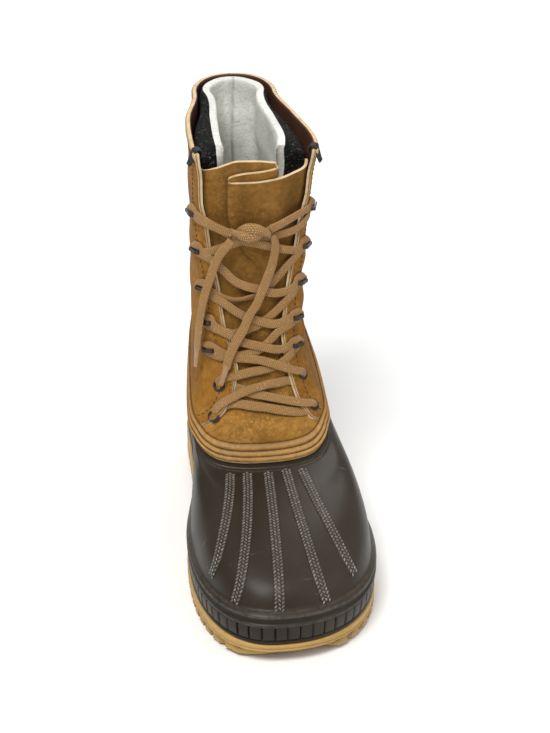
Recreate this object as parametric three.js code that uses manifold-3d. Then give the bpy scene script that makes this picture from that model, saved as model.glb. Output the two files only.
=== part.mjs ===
// A lace-up pac boot for the left foot: a moulded rubber shell on a gum outsole, a suede upper
// laced over a folded suede tongue by two pairs of eyelets and five pairs of hooks, and a thick
// felt liner inside. Millimetres, +Z up, toe towards -Y, outer side of the foot towards +X,
// standing on Z = 0.
import * as THREE from "three";
import { mergeVertices } from "three/addons/utils/BufferGeometryUtils.js";
import Module from "manifold-3d";

const wasm = await Module();
wasm.setup();

// Driving sizes of the boot. shaftHeight is the collar's height above the top of the heel.
const soleLength = 312;
const ballWidth = 123;
const shaftHeight = 258;

// The gum outsole.
const toeThickness = 14;
const forefootThickness = 12.5;
const heelThickness = 24;
const toeSpring = 4.5;
const archLift = 3;
const outsoleProud = 4.2;
const outsoleRound = 1.2;
const lugDepth = 4;
const lugPitch = 11;
const lugWidth = 6.8;
const lugWave = 3;
const lugWaveLength = 60;

// The rubber shell. The lap is how far it reaches up behind the leather.
const shellWall = 3;
const shellLap = 11;
const bumperProud = 2.6;
const bumperHeight = 22;
const blockProud = 0.9;
const blockBottom = 3.7;
const blockHeight = 11.6;
const blockPitch = 7.8;
const blockWidth = 6.6;
const blockCount = 17;
const bandProud = 1;
const bandWidth = 6.8;

// The leather, the felt and the board. The bib is thinner than the quarters over it.
const quarterWall = 2.9;
const bibWall = 2;
const tongueWall = 2;
const tongueReach = 17;
const pleatDepth = 5;
const pleatWidth = 26;
const feltWall = 6.5;
const feltSole = 8;
const insoleThickness = 4;
const clearance = 0.3;
const leatherClearance = 0.5;
const soleClearance = 0.6;
const linerSeat = 1.2;
const linerClearance = 1.8;
const linerTuck = 4.5;
const metalClearance = 1;

// The metal parts.
const eyeletBore = 2.3;
const eyeletWall = 0.6;
const eyeletRadius = 4.4;
const eyeletFlange = 0.8;
const hookWidth = 6;
const hookLength = 8;
const hookHeight = 4.6;
const hookSheet = 1.1;

// The lace and the collar's tabs.
const laceWidth = 6.5;
const laceThickness = 1.6;
const knotSize = { width: 11, thickness: 4 };
const aglet = { length: 14, width: 4, thickness: 2.2 };
const tabWidth = 9;
const tabDrop = 10;
const tabThickness = 0.9;

// Sections from the feather line to the collar. front and back are shares of the sole's length
// from the toe, frontRise and backRise of the shaft's height above the outsole, and ball, waist and
// heel of the section's own length. The widths and frontX and backX are shares of the ball width.
// follow is how far a section keeps to the curve of the outsole's top.
const columns = [
  "front", "frontRise", "back", "backRise", "follow", "frontX", "backX", "ball", "ballOut", "ballIn",
  "waist", "waistOut", "waistIn", "heel", "heelOut", "heelIn", "toePower",
];
const sections = [
  [0.014, 0, 0.984, 0, 1, -0.05, -0.02, 0.3, 0.5, 0.43, 0.57, 0.39, 0.34, 0.84, 0.29, 0.32, 2.35],
  [0.009, 0.04, 0.989, 0.034, 1, -0.05, -0.02, 0.3, 0.515, 0.44, 0.57, 0.39, 0.34, 0.84, 0.3, 0.325, 2.35],
  [0.017, 0.085, 0.99, 0.083, 0.8, -0.05, -0.02, 0.3, 0.515, 0.44, 0.57, 0.39, 0.345, 0.84, 0.3, 0.325, 2.35],
  [0.055, 0.138, 0.988, 0.137, 0.4, -0.045, -0.02, 0.29, 0.5, 0.43, 0.57, 0.385, 0.345, 0.84, 0.3, 0.32, 2.3],
  [0.15, 0.187, 0.98, 0.203, 0, -0.035, -0.02, 0.27, 0.46, 0.405, 0.56, 0.38, 0.35, 0.84, 0.285, 0.305, 2.3],
  [0.27, 0.221, 0.97, 0.268, 0, -0.025, -0.022, 0.24, 0.405, 0.385, 0.54, 0.37, 0.355, 0.84, 0.27, 0.28, 2.4],
  [0.388, 0.244, 0.96, 0.334, 0, -0.02, -0.025, 0.2, 0.36, 0.385, 0.5, 0.35, 0.345, 0.82, 0.25, 0.265, 2.6],
  [0.452, 0.312, 0.952, 0.41, 0, -0.025, -0.03, 0.2, 0.315, 0.35, 0.5, 0.3, 0.325, 0.8, 0.235, 0.26, 2.5],
  [0.502, 0.418, 0.95, 0.509, 0, -0.035, -0.035, 0.2, 0.24, 0.315, 0.5, 0.235, 0.305, 0.8, 0.21, 0.26, 2.4],
  [0.53, 0.558, 0.952, 0.629, 0, -0.04, -0.038, 0.18, 0.225, 0.315, 0.5, 0.215, 0.3, 0.8, 0.19, 0.255, 2.4],
  [0.541, 0.71, 0.955, 0.76, 0, -0.045, -0.04, 0.15, 0.235, 0.318, 0.5, 0.215, 0.3, 0.8, 0.175, 0.245, 2.5],
  [0.53, 0.863, 0.956, 0.891, 0, -0.048, -0.042, 0.15, 0.255, 0.318, 0.5, 0.215, 0.3, 0.8, 0.16, 0.24, 2.7],
  [0.5, 1, 0.955, 1, 0, -0.05, -0.044, 0.17, 0.272, 0.315, 0.5, 0.215, 0.3, 0.8, 0.15, 0.235, 3],
].map((row) => Object.fromEntries(columns.map((key, i) => [key, row[i]])));
const collar = sections.length - 1;

// Places on the boot are a turn, round from the toe by the outer side, and a section number v.
// The leather's lower edge rises from the throat to the counter.
const throatBase = 5.95;
const counterTop = 7.4;

// The throat's edges: the turn of the outer and of the inner edge at section v.
const throat = [
  { v: 6.4, out: 0.13, in: 0.122 },
  { v: 6.75, out: 0.1, in: 0.098 },
  { v: 7.1, out: 0.08, in: 0.066 },
  { v: 7.55, out: 0.079, in: 0.044 },
  { v: 8, out: 0.071, in: 0.033 },
  { v: 8.5, out: 0.065, in: 0.054 },
  { v: 9, out: 0.073, in: 0.068 },
  { v: 9.6, out: 0.092, in: 0.08 },
  { v: 10.2, out: 0.108, in: 0.1 },
  { v: 10.9, out: 0.13, in: 0.124 },
  { v: 11.6, out: 0.134, in: 0.132 },
  { v: 12.2, out: 0.13, in: 0.138 },
];
const throatArch = 0.7;
const bibSide = { out: 0.14, in: 0.13 };

// The lacing points from the toe up: the first two rows are eyelets, the others hooks.
const laceRows = [
  { v: 7.05, out: 0.126, in: 0.096 },
  { v: 7.75, out: 0.125, in: 0.084 },
  { v: 8.42, out: 0.108, in: 0.108 },
  { v: 8.93, out: 0.114, in: 0.114 },
  { v: 9.55, out: 0.132, in: 0.124 },
  { v: 10.22, out: 0.146, in: 0.146 },
  { v: 10.9, out: 0.17, in: 0.166 },
];
const eyeletRows = 2;

// The raised bands on the vamp, from their upper to their lower ends.
const bands = [
  { top: 5.58, topTurn: -0.06, foot: 2.5, footTurn: -0.119 },
  { top: 5.65, topTurn: -0.026, foot: 2.2, footTurn: -0.069 },
  { top: 5.65, topTurn: 0, foot: 2.15, footTurn: -0.001 },
  { top: 5.66, topTurn: 0.024, foot: 2.2, footTurn: 0.047 },
  { top: 5.6, topTurn: 0.053, foot: 2.6, footTurn: 0.096 },
];

// The felt liner is rounder in front than the leather, and open there from linerSlit to its top.
const linerFront = { toePower: 2.1 };
const linerSlit = { v: 9.2, out: 0.085, in: 0.08 };

// The knot and the two free ends of the lace, by turn, v and height off the surface.
const knotPath = [
  [-0.032, 10.62, 4.8], [-0.016, 10.66, 5.4], [0, 10.68, 5.6], [0.014, 10.66, 5.4], [0.028, 10.6, 4.8],
];
const endPaths = {
  outer: [
    [0.037, 10.48, 7.6], [0.04, 10.3, 7.4], [0.036, 10.08, 7], [0.028, 9.86, 6.9], [0.016, 9.6, 6.9],
    [0.006, 9.38, 6.9], [-0.008, 9.12, 7], [-0.02, 8.88, 7.2], [-0.036, 8.66, 7.6], [-0.05, 8.42, 7.8],
    [-0.059, 8.18, 7.8],
  ],
  inner: [
    [-0.044, 10.48, 7.8], [-0.06, 10.34, 8.6], [-0.074, 10.14, 9.4], [-0.086, 9.88, 10],
    [-0.096, 9.66, 10.4], [-0.106, 9.42, 10.5], [-0.113, 9.18, 10.5], [-0.119, 8.94, 10.5],
    [-0.125, 8.66, 10.5], [-0.13, 8.4, 10.5],
  ],
};

const clamp01 = (value) => Math.min(1, Math.max(0, value));
const mix = (a, b, t) => a + (b - a) * t;
const smooth = (a, b, value) => {
  const t = clamp01((value - a) / (b - a));
  return t * t * (3 - 2 * t);
};

// One value of a table at a fractional row number, by Catmull-Rom.
function tableValue(table, key, row) {
  const last = table.length - 1;
  const i = Math.min(last - 1, Math.max(0, Math.floor(row)));
  const t = row - i;
  const at = (k) => table[Math.min(last, Math.max(0, k))][key];
  const [a, b, c, d] = [at(i - 1), at(i), at(i + 1), at(i + 2)];
  if (t < 0 || t > 1) return b + (c - b) * t;
  return b + 0.5 * t * (c - a + t * (2 * a - 5 * b + 4 * c - d + t * (3 * (b - c) + d - a)));
}

// A side of the throat at section v, in between the table's rows.
function throatEdge(side, v) {
  const i = Math.max(1, throat.findIndex((row) => row.v >= v));
  const [a, b] = [throat[i - 1], throat[i]];
  return mix(a[side], b[side], clamp01((v - a.v) / (b.v - a.v)));
}

// Height of the outsole's top and bottom above the floor along the boot.
function soleTop(y) {
  const share = y / soleLength + 0.5;
  const forefoot = mix(toeThickness, forefootThickness, smooth(0, 0.26, share));
  return mix(forefoot, heelThickness, smooth(0.45, 0.76, share));
}

function soleLift(y) {
  const share = y / soleLength + 0.5;
  const spring = toeSpring * (1 - clamp01(share / 0.24)) ** 2;
  return spring + archLift * smooth(0.46, 0.54, share) * (1 - smooth(0.66, 0.74, share));
}

// A cubic from a to b with the slopes there, over a span.
function cubic(a, slopeA, b, slopeB, span, t) {
  const t2 = t * t;
  const t3 = t2 * t;
  return a * (2 * t3 - 3 * t2 + 1) + slopeA * span * (t3 - 2 * t2 + t)
    + b * (3 * t2 - 2 * t3) + slopeB * span * (t3 - t2);
}

// A point of the boot's surface, the outside of the rubber and the inside of the leather. The toe
// and the heel are arcs of a superellipse, with a cubic along each side between them.
const frontArc = 0.4;
const rearArc = 0.7;
const heelPower = 2.2;
function surfacePoint(turn, v, front = {}) {
  const t = ((turn % 1) + 1) % 1;
  const outer = t <= 0.5;
  const u = outer ? 2 * t : 2 * (1 - t);
  const value = (key) => {
    const own = tableValue(sections, key, v);
    return key in front ? mix(own, front[key], smooth(6.5, 9, v)) : own;
  };
  const side = (place) => (outer ? value(place + "Out") : -value(place + "In"));
  const arc = (share, power) => Math.max(0, share) ** (2 / power);
  const ball = value("ball");
  const heel = value("heel");
  let along;
  let x;
  if (u < frontArc) {
    const angle = (u / frontArc) * (Math.PI / 2);
    along = ball * (1 - arc(Math.cos(angle), value("toePower")));
    x = mix(value("frontX"), side("ball"), arc(Math.sin(angle), value("toePower")));
  } else if (u > rearArc) {
    const angle = ((1 - u) / (1 - rearArc)) * (Math.PI / 2);
    along = 1 - (1 - heel) * (1 - arc(Math.cos(angle), heelPower));
    x = mix(value("backX"), side("heel"), arc(Math.sin(angle), heelPower));
  } else {
    const waist = value("waist");
    const slope = (side("heel") - side("ball")) / (heel - ball);
    along = mix(ball, heel, (u - frontArc) / (rearArc - frontArc));
    x = along < waist
      ? cubic(side("ball"), 0, side("waist"), slope, waist - ball, (along - ball) / (waist - ball))
      : cubic(side("waist"), slope, side("heel"), 0, heel - waist, (along - waist) / (heel - waist));
  }
  const frontY = soleLength * (value("front") - 0.5);
  const backY = soleLength * (value("back") - 0.5);
  const y = mix(frontY, backY, along);
  const base = mix(soleTop(frontY), soleTop(backY), along);
  const rise = shaftHeight * mix(value("frontRise"), value("backRise"), along);
  return new THREE.Vector3(ballWidth * x, y, base + value("follow") * (soleTop(y) - base) + rise);
}

function surfaceNormal(turn, v, front) {
  const step = 0.004;
  const around = surfacePoint(turn + step, v, front).sub(surfacePoint(turn - step, v, front));
  const up = surfacePoint(turn, v + step, front).sub(surfacePoint(turn, v - step, front));
  return around.cross(up).normalize();
}

function offsetPoint(turn, v, offset, front) {
  return surfacePoint(turn, v, front).addScaledVector(surfaceNormal(turn, v, front), offset);
}

// The section number, or the turn, reached by going a length up or round the surface.
function climb(turn, v, length) {
  const step = 0.05;
  let at = v;
  let left = length;
  while (left > 0) {
    const run = surfacePoint(turn, at + step).distanceTo(surfacePoint(turn, at));
    at += step * Math.min(1, left / run);
    left -= run;
  }
  return at;
}

function around(turn, v, length) {
  const step = 0.002;
  return turn + (step * length) / surfacePoint(turn + step, v).distanceTo(surfacePoint(turn, v));
}

// The length of a whole turn in front of the boot at section v.
function perTurn(v) {
  const step = 0.05;
  return surfacePoint(step, v).distanceTo(surfacePoint(-step, v)) / (2 * step);
}

// The frame at a place: the point, the way round, the way up the boot and the way out of it.
function frameAt(turn, v, offset) {
  const out = surfaceNormal(turn, v);
  const up = surfacePoint(turn, v + 0.01).sub(surfacePoint(turn, v - 0.01)).normalize();
  const round = up.clone().cross(out).normalize();
  return { point: offsetPoint(turn, v, offset), out, round, up: out.clone().cross(round).normalize() };
}

// Solids from points and triangles, turned to face outwards.
function solidFrom(points, triangles) {
  const volume = triangles.reduce((sum, [a, b, c]) =>
    sum + points[a].dot(points[b].clone().cross(points[c])), 0);
  const faces = volume < 0 ? triangles.map(([a, b, c]) => [a, c, b]) : triangles;
  const geometry = new THREE.BufferGeometry();
  geometry.setAttribute("position", new THREE.Float32BufferAttribute(points.flatMap((p) => p.toArray()), 3));
  geometry.setIndex(faces.flat());
  return solidOf(geometry);
}

function solidOf(geometry) {
  const bare = geometry.clone();
  bare.deleteAttribute("normal");
  bare.deleteAttribute("uv");
  const merged = mergeVertices(bare, 1e-4);
  return new wasm.Manifold(new wasm.Mesh({
    numProp: 3,
    vertProperties: merged.attributes.position.array,
    triVerts: new Uint32Array(merged.index.array),
  }));
}

const range = (count, make) => Array.from({ length: count }, (_, i) => make(i));
const evenly = (from, to, count) => range(count + 1, (i) => mix(from, to, i / count));
const quad = (a, b, c, d) => [[a, b, c], [a, c, d]];

// A wall all the way round: for each turn, a closed loop of points.
function wallFrom(loops) {
  const size = loops[0].length;
  const faces = [];
  loops.forEach((_, i) => {
    const [a, b] = [i * size, ((i + 1) % loops.length) * size];
    range(size, (j) => {
      const k = (j + 1) % size;
      faces.push(...quad(a + j, b + j, b + k, a + k));
    });
  });
  return solidFrom(loops.flat(), faces);
}

function wallAround({ turns, stations, inner, outer }) {
  return wallFrom(range(turns, (i) => {
    const turn = i / turns;
    const rows = stations(turn);
    const spot = (v, offset) => {
      const p = offsetPoint(turn, v, offset);
      return v === 0 ? p.setZ(soleTop(p.y)) : p;
    };
    return [
      ...rows.map((v) => spot(v, outer(turn, v))),
      ...rows.toReversed().map((v) => spot(v, inner(turn, v))),
    ];
  }));
}

// A sheet between two grids of points, closed along its four sides.
function sheetBetween(top, under) {
  const [rows, across] = [top.length, top[0].length];
  const id = (layer, i, j) => (layer * rows + i) * across + j;
  const faces = [];
  for (const layer of [0, 1]) {
    range(rows - 1, (i) => range(across - 1, (j) => {
      const ring = [id(layer, i, j), id(layer, i, j + 1), id(layer, i + 1, j + 1), id(layer, i + 1, j)];
      faces.push(...quad(...(layer ? ring.reverse() : ring)));
    }));
  }
  range(rows - 1, (i) => {
    faces.push(...quad(id(0, i, 0), id(0, i + 1, 0), id(1, i + 1, 0), id(1, i, 0)));
    const end = across - 1;
    faces.push(...quad(id(0, i + 1, end), id(0, i, end), id(1, i, end), id(1, i + 1, end)));
  });
  range(across - 1, (j) => {
    faces.push(...quad(id(0, 0, j + 1), id(0, 0, j), id(1, 0, j), id(1, 0, j + 1)));
    const end = rows - 1;
    faces.push(...quad(id(0, end, j), id(0, end, j + 1), id(1, end, j + 1), id(1, end, j)));
  });
  return solidFrom([...top.flat(), ...under.flat()], faces);
}

// A patch of the surface between two offsets. place(i, j) gives the turn and v of a grid point.
function patch({ rows, across, place, inner, outer, front }) {
  const grid = (offset) => range(rows + 1, (i) => range(across + 1, (j) => {
    const [turn, v] = place(i / rows, j / across);
    return offsetPoint(turn, v, offset, front);
  }));
  return sheetBetween(grid(outer), grid(inner));
}

// A closed bag of rings, one above the other, its ends closed from side to side.
function bagOf(rings) {
  const size = rings[0].length;
  const faces = [];
  range(rings.length - 1, (i) => range(size, (j) => {
    const k = (j + 1) % size;
    faces.push(...quad(i * size + j, i * size + k, (i + 1) * size + k, (i + 1) * size + j));
  }));
  const close = (base, flip) => range(size / 2, (i) => {
    const [a, b] = [base + i, base + i + 1];
    const [c, d] = [base + size - i - 1, base + ((size - i) % size)];
    const strip = i === 0 ? [[a, b, c]] : i === size / 2 - 1 ? [[a, b, d]] : quad(a, b, c, d);
    strip.forEach(([p, q, r]) => faces.push(flip ? [p, q, r] : [p, r, q]));
  });
  close(0, false);
  close((rings.length - 1) * size, true);
  return solidFrom(rings.flat(), faces);
}

// A ring round the feather line, grown in plan, at a height that follows the boot.
function planRing(count, grow, height) {
  return range(count, (i) => {
    const out = surfaceNormal(i / count, 0).setZ(0).normalize();
    const p = surfacePoint(i / count, 0).addScaledVector(out, grow);
    return p.setZ(height(p.y));
  });
}

// A strap with a flat eight-sided section along places given as turn, v and offset.
function strap(path, width, thickness, steps, plain = false) {
  const place = (t) => {
    const s = t * (path.length - 1);
    return [0, 1, 2].map((key) => tableValue(path, key, s));
  };
  const spot = (t) => offsetPoint(...place(t));
  const outline = plain ? [[-0.5, -0.5], [0.5, -0.5], [0.5, 0.5], [-0.5, 0.5]] : [
    [-0.5, -0.25], [-0.38, -0.5], [0.38, -0.5], [0.5, -0.25],
    [0.5, 0.25], [0.38, 0.5], [-0.38, 0.5], [-0.5, 0.25],
  ];
  const rings = range(steps + 1, (i) => {
    const t = i / steps;
    const ahead = spot(Math.min(1, t + 0.01)).sub(spot(Math.max(0, t - 0.01))).normalize();
    const [turn, v] = place(t);
    const wide = surfaceNormal(turn, v).cross(ahead).normalize();
    const thick = ahead.clone().cross(wide).normalize();
    return outline.map(([a, b]) =>
      spot(t).addScaledVector(wide, a * width).addScaledVector(thick, b * thickness));
  });
  const faces = [];
  const size = outline.length;
  range(steps, (i) => range(size, (j) => {
    const k = (j + 1) % size;
    faces.push(...quad(i * size + j, i * size + k, (i + 1) * size + k, (i + 1) * size + j));
  }));
  range(size - 2, (j) => {
    const end = steps * size;
    faces.push([0, j + 2, j + 1], [end, end + j + 1, end + j + 2]);
  });
  return solidFrom(rings.flat(), faces);
}

// A geometry made about its own axes, X round the boot, Y up it and Z out of it, set at a place.
function setAt(geometry, { point, out, round, up }) {
  const matrix = new THREE.Matrix4().makeBasis(round, up, out).setPosition(point);
  return solidOf(geometry.applyMatrix4(matrix));
}

const group = new THREE.Group();
function add(name, solid, material) {
  const { numProp, vertProperties, triVerts } = solid.getMesh();
  const pointAt = (i) => [...vertProperties.slice(i * numProp, i * numProp + 3)];
  const points = range(vertProperties.length / numProp, pointAt);
  const geometry = new THREE.BufferGeometry();
  geometry.setAttribute("position", new THREE.Float32BufferAttribute(points.flat(), 3));
  geometry.setIndex(new THREE.BufferAttribute(new Uint32Array(triVerts), 1));
  geometry.computeVertexNormals();
  const mesh = new THREE.Mesh(geometry, material);
  mesh.name = name;
  group.add(mesh);
}

const look = (color, roughness, metalness = 0) =>
  new THREE.MeshStandardMaterial({ color, roughness, metalness });
const rubber = look(0x38312b, 0.5);
const gum = look(0xb8904f, 0.6);
const suede = look(0x9a682c, 0.85);
const blackFelt = look(0x2e3032, 0.95);
const board = look(0x8a7a62, 0.9);
const metal = look(0x26231f, 0.4, 0.8);
const tape = look(0x1d1c1b, 0.7);
const tan = look(0xa97f4f, 0.8);

// The outsole, with wavy grooves across it that run out through its side.
function outsole() {
  const ringTurns = 50;
  const full = (y) => soleTop(y) - soleClearance;
  const block = bagOf([
    planRing(ringTurns, outsoleProud - outsoleRound, soleLift),
    planRing(ringTurns, outsoleProud, (y) => soleLift(y) + outsoleRound),
    planRing(ringTurns, outsoleProud - outsoleRound / 2, (y) => full(y) - outsoleRound),
    planRing(ringTurns, outsoleProud - outsoleRound, full),
  ]);
  const grooveWidth = lugPitch - lugWidth;
  const count = Math.floor(soleLength / lugPitch);
  const grooves = range(count, (i) => {
    const y = (i - (count - 1) / 2) * lugPitch;
    const half = ballWidth * 0.65;
    const waves = Math.round((2 * half) / (lugWaveLength / 2));
    const edge = (side) => evenly(-half, half, waves).map((x, k) =>
      new THREE.Vector2(x, y + side * grooveWidth / 2 + (k % 2 ? lugWave : -lugWave)));
    const shape = new THREE.Shape([...edge(-1), ...edge(1).reverse()]);
    const top = soleLift(y) + lugDepth;
    const cutter = new THREE.ExtrudeGeometry(shape, { depth: 2 * top, bevelEnabled: false });
    return solidOf(cutter.translate(0, 0, -top));
  });
  return grooves.reduce((solid, groove) => solid.subtract(groove), block);
}

const topLine = (turn) => mix(throatBase, counterTop, smooth(0.15, 0.9, 2 * Math.min(turn, 1 - turn)));
const wallTurns = 44;

// The rows of the shell, and of the leather from the same rows where the two overlap.
function shellStations(turn) {
  const bumperTop = climb(turn, 0, bumperHeight);
  const top = topLine(turn);
  const [under, over] = [bumperTop - 0.1, bumperTop + 0.15];
  return [0, bumperTop / 2, under, ...evenly(over, top, 6), climb(turn, top, shellLap)];
}

function upperStations(turn) {
  const top = topLine(turn);
  return [top, ...evenly(climb(turn, top, shellLap), collar, 8)];
}

function shell() {
  const wall = wallAround({
    turns: wallTurns,
    stations: shellStations,
    inner: () => -shellWall,
    outer: (turn, v) => bumperProud * (v < climb(turn, 0, bumperHeight) ? 1 : 0),
  });
  const foot = climb(0, 0, blockBottom);
  const head = climb(0, foot, blockHeight);
  const blocks = range(blockCount, (i) => {
    const middle = around(0, 0.8, (i - (blockCount - 1) / 2) * blockPitch);
    const half = around(middle, 0.8, blockWidth / 2) - middle;
    const place = (a, b) => [mix(middle - half, middle + half, b), mix(foot, head, a)];
    return patch({ rows: 1, across: 1, place, inner: 0, outer: bumperProud + blockProud });
  });
  const raised = bands.map(({ top, topTurn, foot: low, footTurn }) => {
    const place = (a, b) => {
      const v = mix(low, top, a);
      return [around(mix(footTurn, topTurn, a), v, (b - 0.5) * bandWidth), v];
    };
    return patch({ rows: 6, across: 1, place, inner: -shellWall / 2, outer: bandProud });
  });
  return [...blocks, ...raised].reduce((solid, piece) => solid.add(piece), wall);
}

// The throat's cut and the bib's lower face, as patches of the surface right through the wall.
const archAt = (b) => throatArch * (1 - (2 * b - 1) ** 2);
const cutReach = 6;
const pastCollar = 0.4;
function throatCut() {
  const place = (a, b) => {
    const v = mix(throat[0].v + archAt(b), collar + pastCollar, a);
    return [mix(-throatEdge("in", v), throatEdge("out", v), b), v];
  };
  return patch({ rows: 13, across: 6, place, inner: -cutReach, outer: quarterWall + cutReach });
}

function bibCut() {
  const low = throatBase - 1;
  const place = (a, b) => [mix(-bibSide.in, bibSide.out, b), mix(low, throat[0].v + archAt(b) + 0.1, a)];
  const inner = leatherClearance + bibWall;
  return patch({ rows: 3, across: 8, place, inner, outer: quarterWall + cutReach });
}

function eyeletHole(frame) {
  const radius = eyeletBore + eyeletWall + clearance;
  const drill = new THREE.CylinderGeometry(radius, radius, 4 * quarterWall, 12).rotateX(Math.PI / 2);
  return setAt(drill, frame);
}

const lacePoints = laceRows.flatMap((row, i) => [
  { row: i, side: "out", turn: row.out, v: row.v },
  { row: i, side: "in", turn: -row.in, v: row.v },
]);
const metalSeat = metalClearance + quarterWall;
const eyeletPoints = lacePoints.filter(({ row }) => row < eyeletRows);
const hookPoints = lacePoints.filter(({ row }) => row >= eyeletRows);

function upper() {
  const wall = wallAround({
    turns: wallTurns,
    stations: upperStations,
    inner: () => leatherClearance,
    outer: () => leatherClearance + quarterWall,
  });
  const holes = eyeletPoints.map(({ turn, v }) => eyeletHole(frameAt(turn, v, quarterWall / 2)));
  return [throatCut(), bibCut(), ...holes].reduce((solid, cut) => solid.subtract(cut), wall);
}

// The tongue: a sheet behind the eyestays with a pleat that opens out towards its foot. Across the
// pleat, each place has its share of the way from the inner fold to the outer one, how far it
// stands past the fold, its depth as a share of the pleat's and how high the top edge is there.
const tongueFoot = 6.62;
const pleat = [
  { side: -1, share: 0, depth: 0, top: 11.72 },
  { side: -1, share: 0.35, depth: 0.1, top: 11.8 },
  { side: -1, share: 0.7, depth: 0.5, top: 11.92 },
  { side: 0, share: 0.05, past: 0, depth: 0.92, top: 12.02 },
  { side: 0, share: 0.5, past: 0, depth: 1, top: 12.04 },
  { side: 0, share: 0.96, past: 0, depth: 1, top: 11.98 },
  { side: 0, share: 1, past: 0.7, depth: 0.88, top: 11.9 },
  { side: 0, share: 1, past: 1, depth: 0.75, top: 11.86 },
  { side: 0, share: 1, past: 0.7, depth: 0.62, top: 11.83 },
  { side: 0, share: 0.5, past: 0, depth: 0.5, top: 11.74 },
  { side: 0, share: 0, past: -0.7, depth: 0.38, top: 11.66 },
  { side: 0, share: 0, past: -1, depth: 0.25, top: 11.6 },
  { side: 0, share: 0, past: -0.7, depth: 0.12, top: 11.57 },
  { side: 0, share: 0.5, past: 0, depth: 0, top: 11.57 },
  { side: 0, share: 1, past: 0, depth: 0, top: 11.63 },
  { side: 1, share: 0.5, depth: 0, top: 11.72 },
  { side: 1, share: 1, depth: 0, top: 11.84 },
];

function tongueLine(v, edgeIn, edgeOut) {
  const fold = smooth(9.2, 11.2, v);
  const deep = pleatDepth * clamp01(2.5 * fold);
  const [left, right] = [-pleatWidth / 2, pleatWidth / 2];
  return pleat.map(({ side, share, past = 0, depth }, k) => {
    const flat = mix(edgeIn, edgeOut, k / (pleat.length - 1));
    const ends = [[edgeIn, left], [left, right], [right, edgeOut]][side + 1];
    const folded = mix(...ends, share) + (past * pleatDepth) / 4;
    return [mix(flat, folded, fold), depth * deep];
  });
}

function tongue() {
  const rows = 10;
  const grids = [0, 1].map((layer) => range(rows + 1, (i) => {
    const nominal = mix(tongueFoot, 11.8, i / rows);
    const whole = perTurn(nominal);
    const reach = tongueReach / whole;
    const edges = [-throatEdge("in", nominal) - reach, throatEdge("out", nominal) + reach];
    const line = tongueLine(nominal, edges[0] * whole, edges[1] * whole);
    return line.map(([s, depth], k) => {
      const [before, after] = [line[Math.max(0, k - 1)], line[Math.min(line.length - 1, k + 1)]];
      const run = new THREE.Vector2(after[0] - before[0], before[1] - after[1]).normalize();
      const push = (layer - 0.5) * tongueWall;
      const v = mix(tongueFoot, pleat[k].top, i / rows);
      const offset = -clearance - tongueWall / 2 - depth + push * run.x;
      return offsetPoint((s - push * run.y) / whole, v, offset);
    });
  }));
  return sheetBetween(grids[1], grids[0]);
}

function insole() {
  const grow = -shellWall - 1;
  const turns = 48;
  return bagOf([
    planRing(turns, grow, (y) => soleTop(y) + clearance),
    planRing(turns, grow, (y) => soleTop(y) + clearance + insoleThickness),
  ]);
}

// The liner: a felt bag inside the shell, the tongue and the leather, with a slit down its front.
function liner() {
  const turns = 30;
  const beside = (turn) => Math.min(turn, 1 - turn);
  const face = (turn, v) =>
    mix(shellWall + linerClearance, linerClearance, smooth(7.9, 9.4, v) * smooth(0.16, 0.26, beside(turn)));
  const ground = (y) => soleTop(y) + insoleThickness + clearance + linerSeat;
  const tuck = (turn, v) => linerTuck * smooth(8.6, 10, v) * (1 - smooth(0.06, 0.2, beside(turn)));
  const bag = (stations, depth, floor) => bagOf(stations.map((v, j) => range(turns, (i) => {
    const turn = i / turns;
    const p = offsetPoint(turn, v, -depth - face(turn, v) - tuck(turn, v), linerFront);
    return j ? p : p.setZ(floor(p.y));
  })));
  const outerRows = [0.25, 0.75, 1.5, 2.3, 3.2, 4.2, 5.2, 6, 6.5, 7, 7.5, 8, 8.6, 9.4, 10.4];
  const innerRows = [1.2, 1.8, 2.6, 3.6, 4.8, 6, 7, 8, 9.2, 10.6];
  const outside = bag([...outerRows, collar - 0.05], 0, ground);
  const inside = bag([...innerRows, collar + pastCollar], feltWall, (y) => ground(y) + feltSole);
  const place = (a, b) => [mix(-linerSlit.in, linerSlit.out, b), mix(linerSlit.v, collar + pastCollar, a)];
  const slit = patch({ rows: 6, across: 6, place, inner: -5 * feltWall, outer: feltWall, front: linerFront });
  return outside.subtract(inside).subtract(slit);
}

function eyelet({ turn, v }) {
  const [bore, barrel] = [eyeletBore, eyeletBore + eyeletWall];
  const profile = [
    [bore, -quarterWall], [barrel, -quarterWall], [barrel, clearance], [eyeletRadius, clearance],
    [eyeletRadius - 0.4, clearance + eyeletFlange], [bore + 0.3, clearance + eyeletFlange],
    [bore, -quarterWall],
  ].map(([x, y]) => new THREE.Vector2(x, y));
  const ring = new THREE.LatheGeometry(profile, 8).rotateX(Math.PI / 2);
  return setAt(ring, frameAt(turn, v, metalSeat));
}

// A lace hook: a plate on the eyestay, a riser on the throat's side and a lip over the lace.
function hook({ turn, v, side }) {
  const [length, height, sheet] = [hookLength, hookHeight, hookSheet];
  const [back, lip, corner] = [-length / 2, length * 0.55, sheet / 2];
  const profile = [
    [back, 0], [length / 2, 0], [length / 2, sheet], [back + sheet, sheet], [back + sheet, height - sheet],
    [lip - sheet, height - sheet], [lip, height - 1.6 * sheet], [lip + corner, height - sheet],
    [lip - corner, height], [back + corner, height], [back, height - corner],
  ].map(([x, y]) => new THREE.Vector2(side === "out" ? x : -x, y));
  const bent = new THREE.ExtrudeGeometry(new THREE.Shape(profile), { depth: hookWidth, bevelEnabled: false });
  const upright = bent.translate(0, 0, -hookWidth / 2).rotateX(Math.PI / 2);
  return setAt(upright, frameAt(turn, v, metalSeat + clearance));
}

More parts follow.
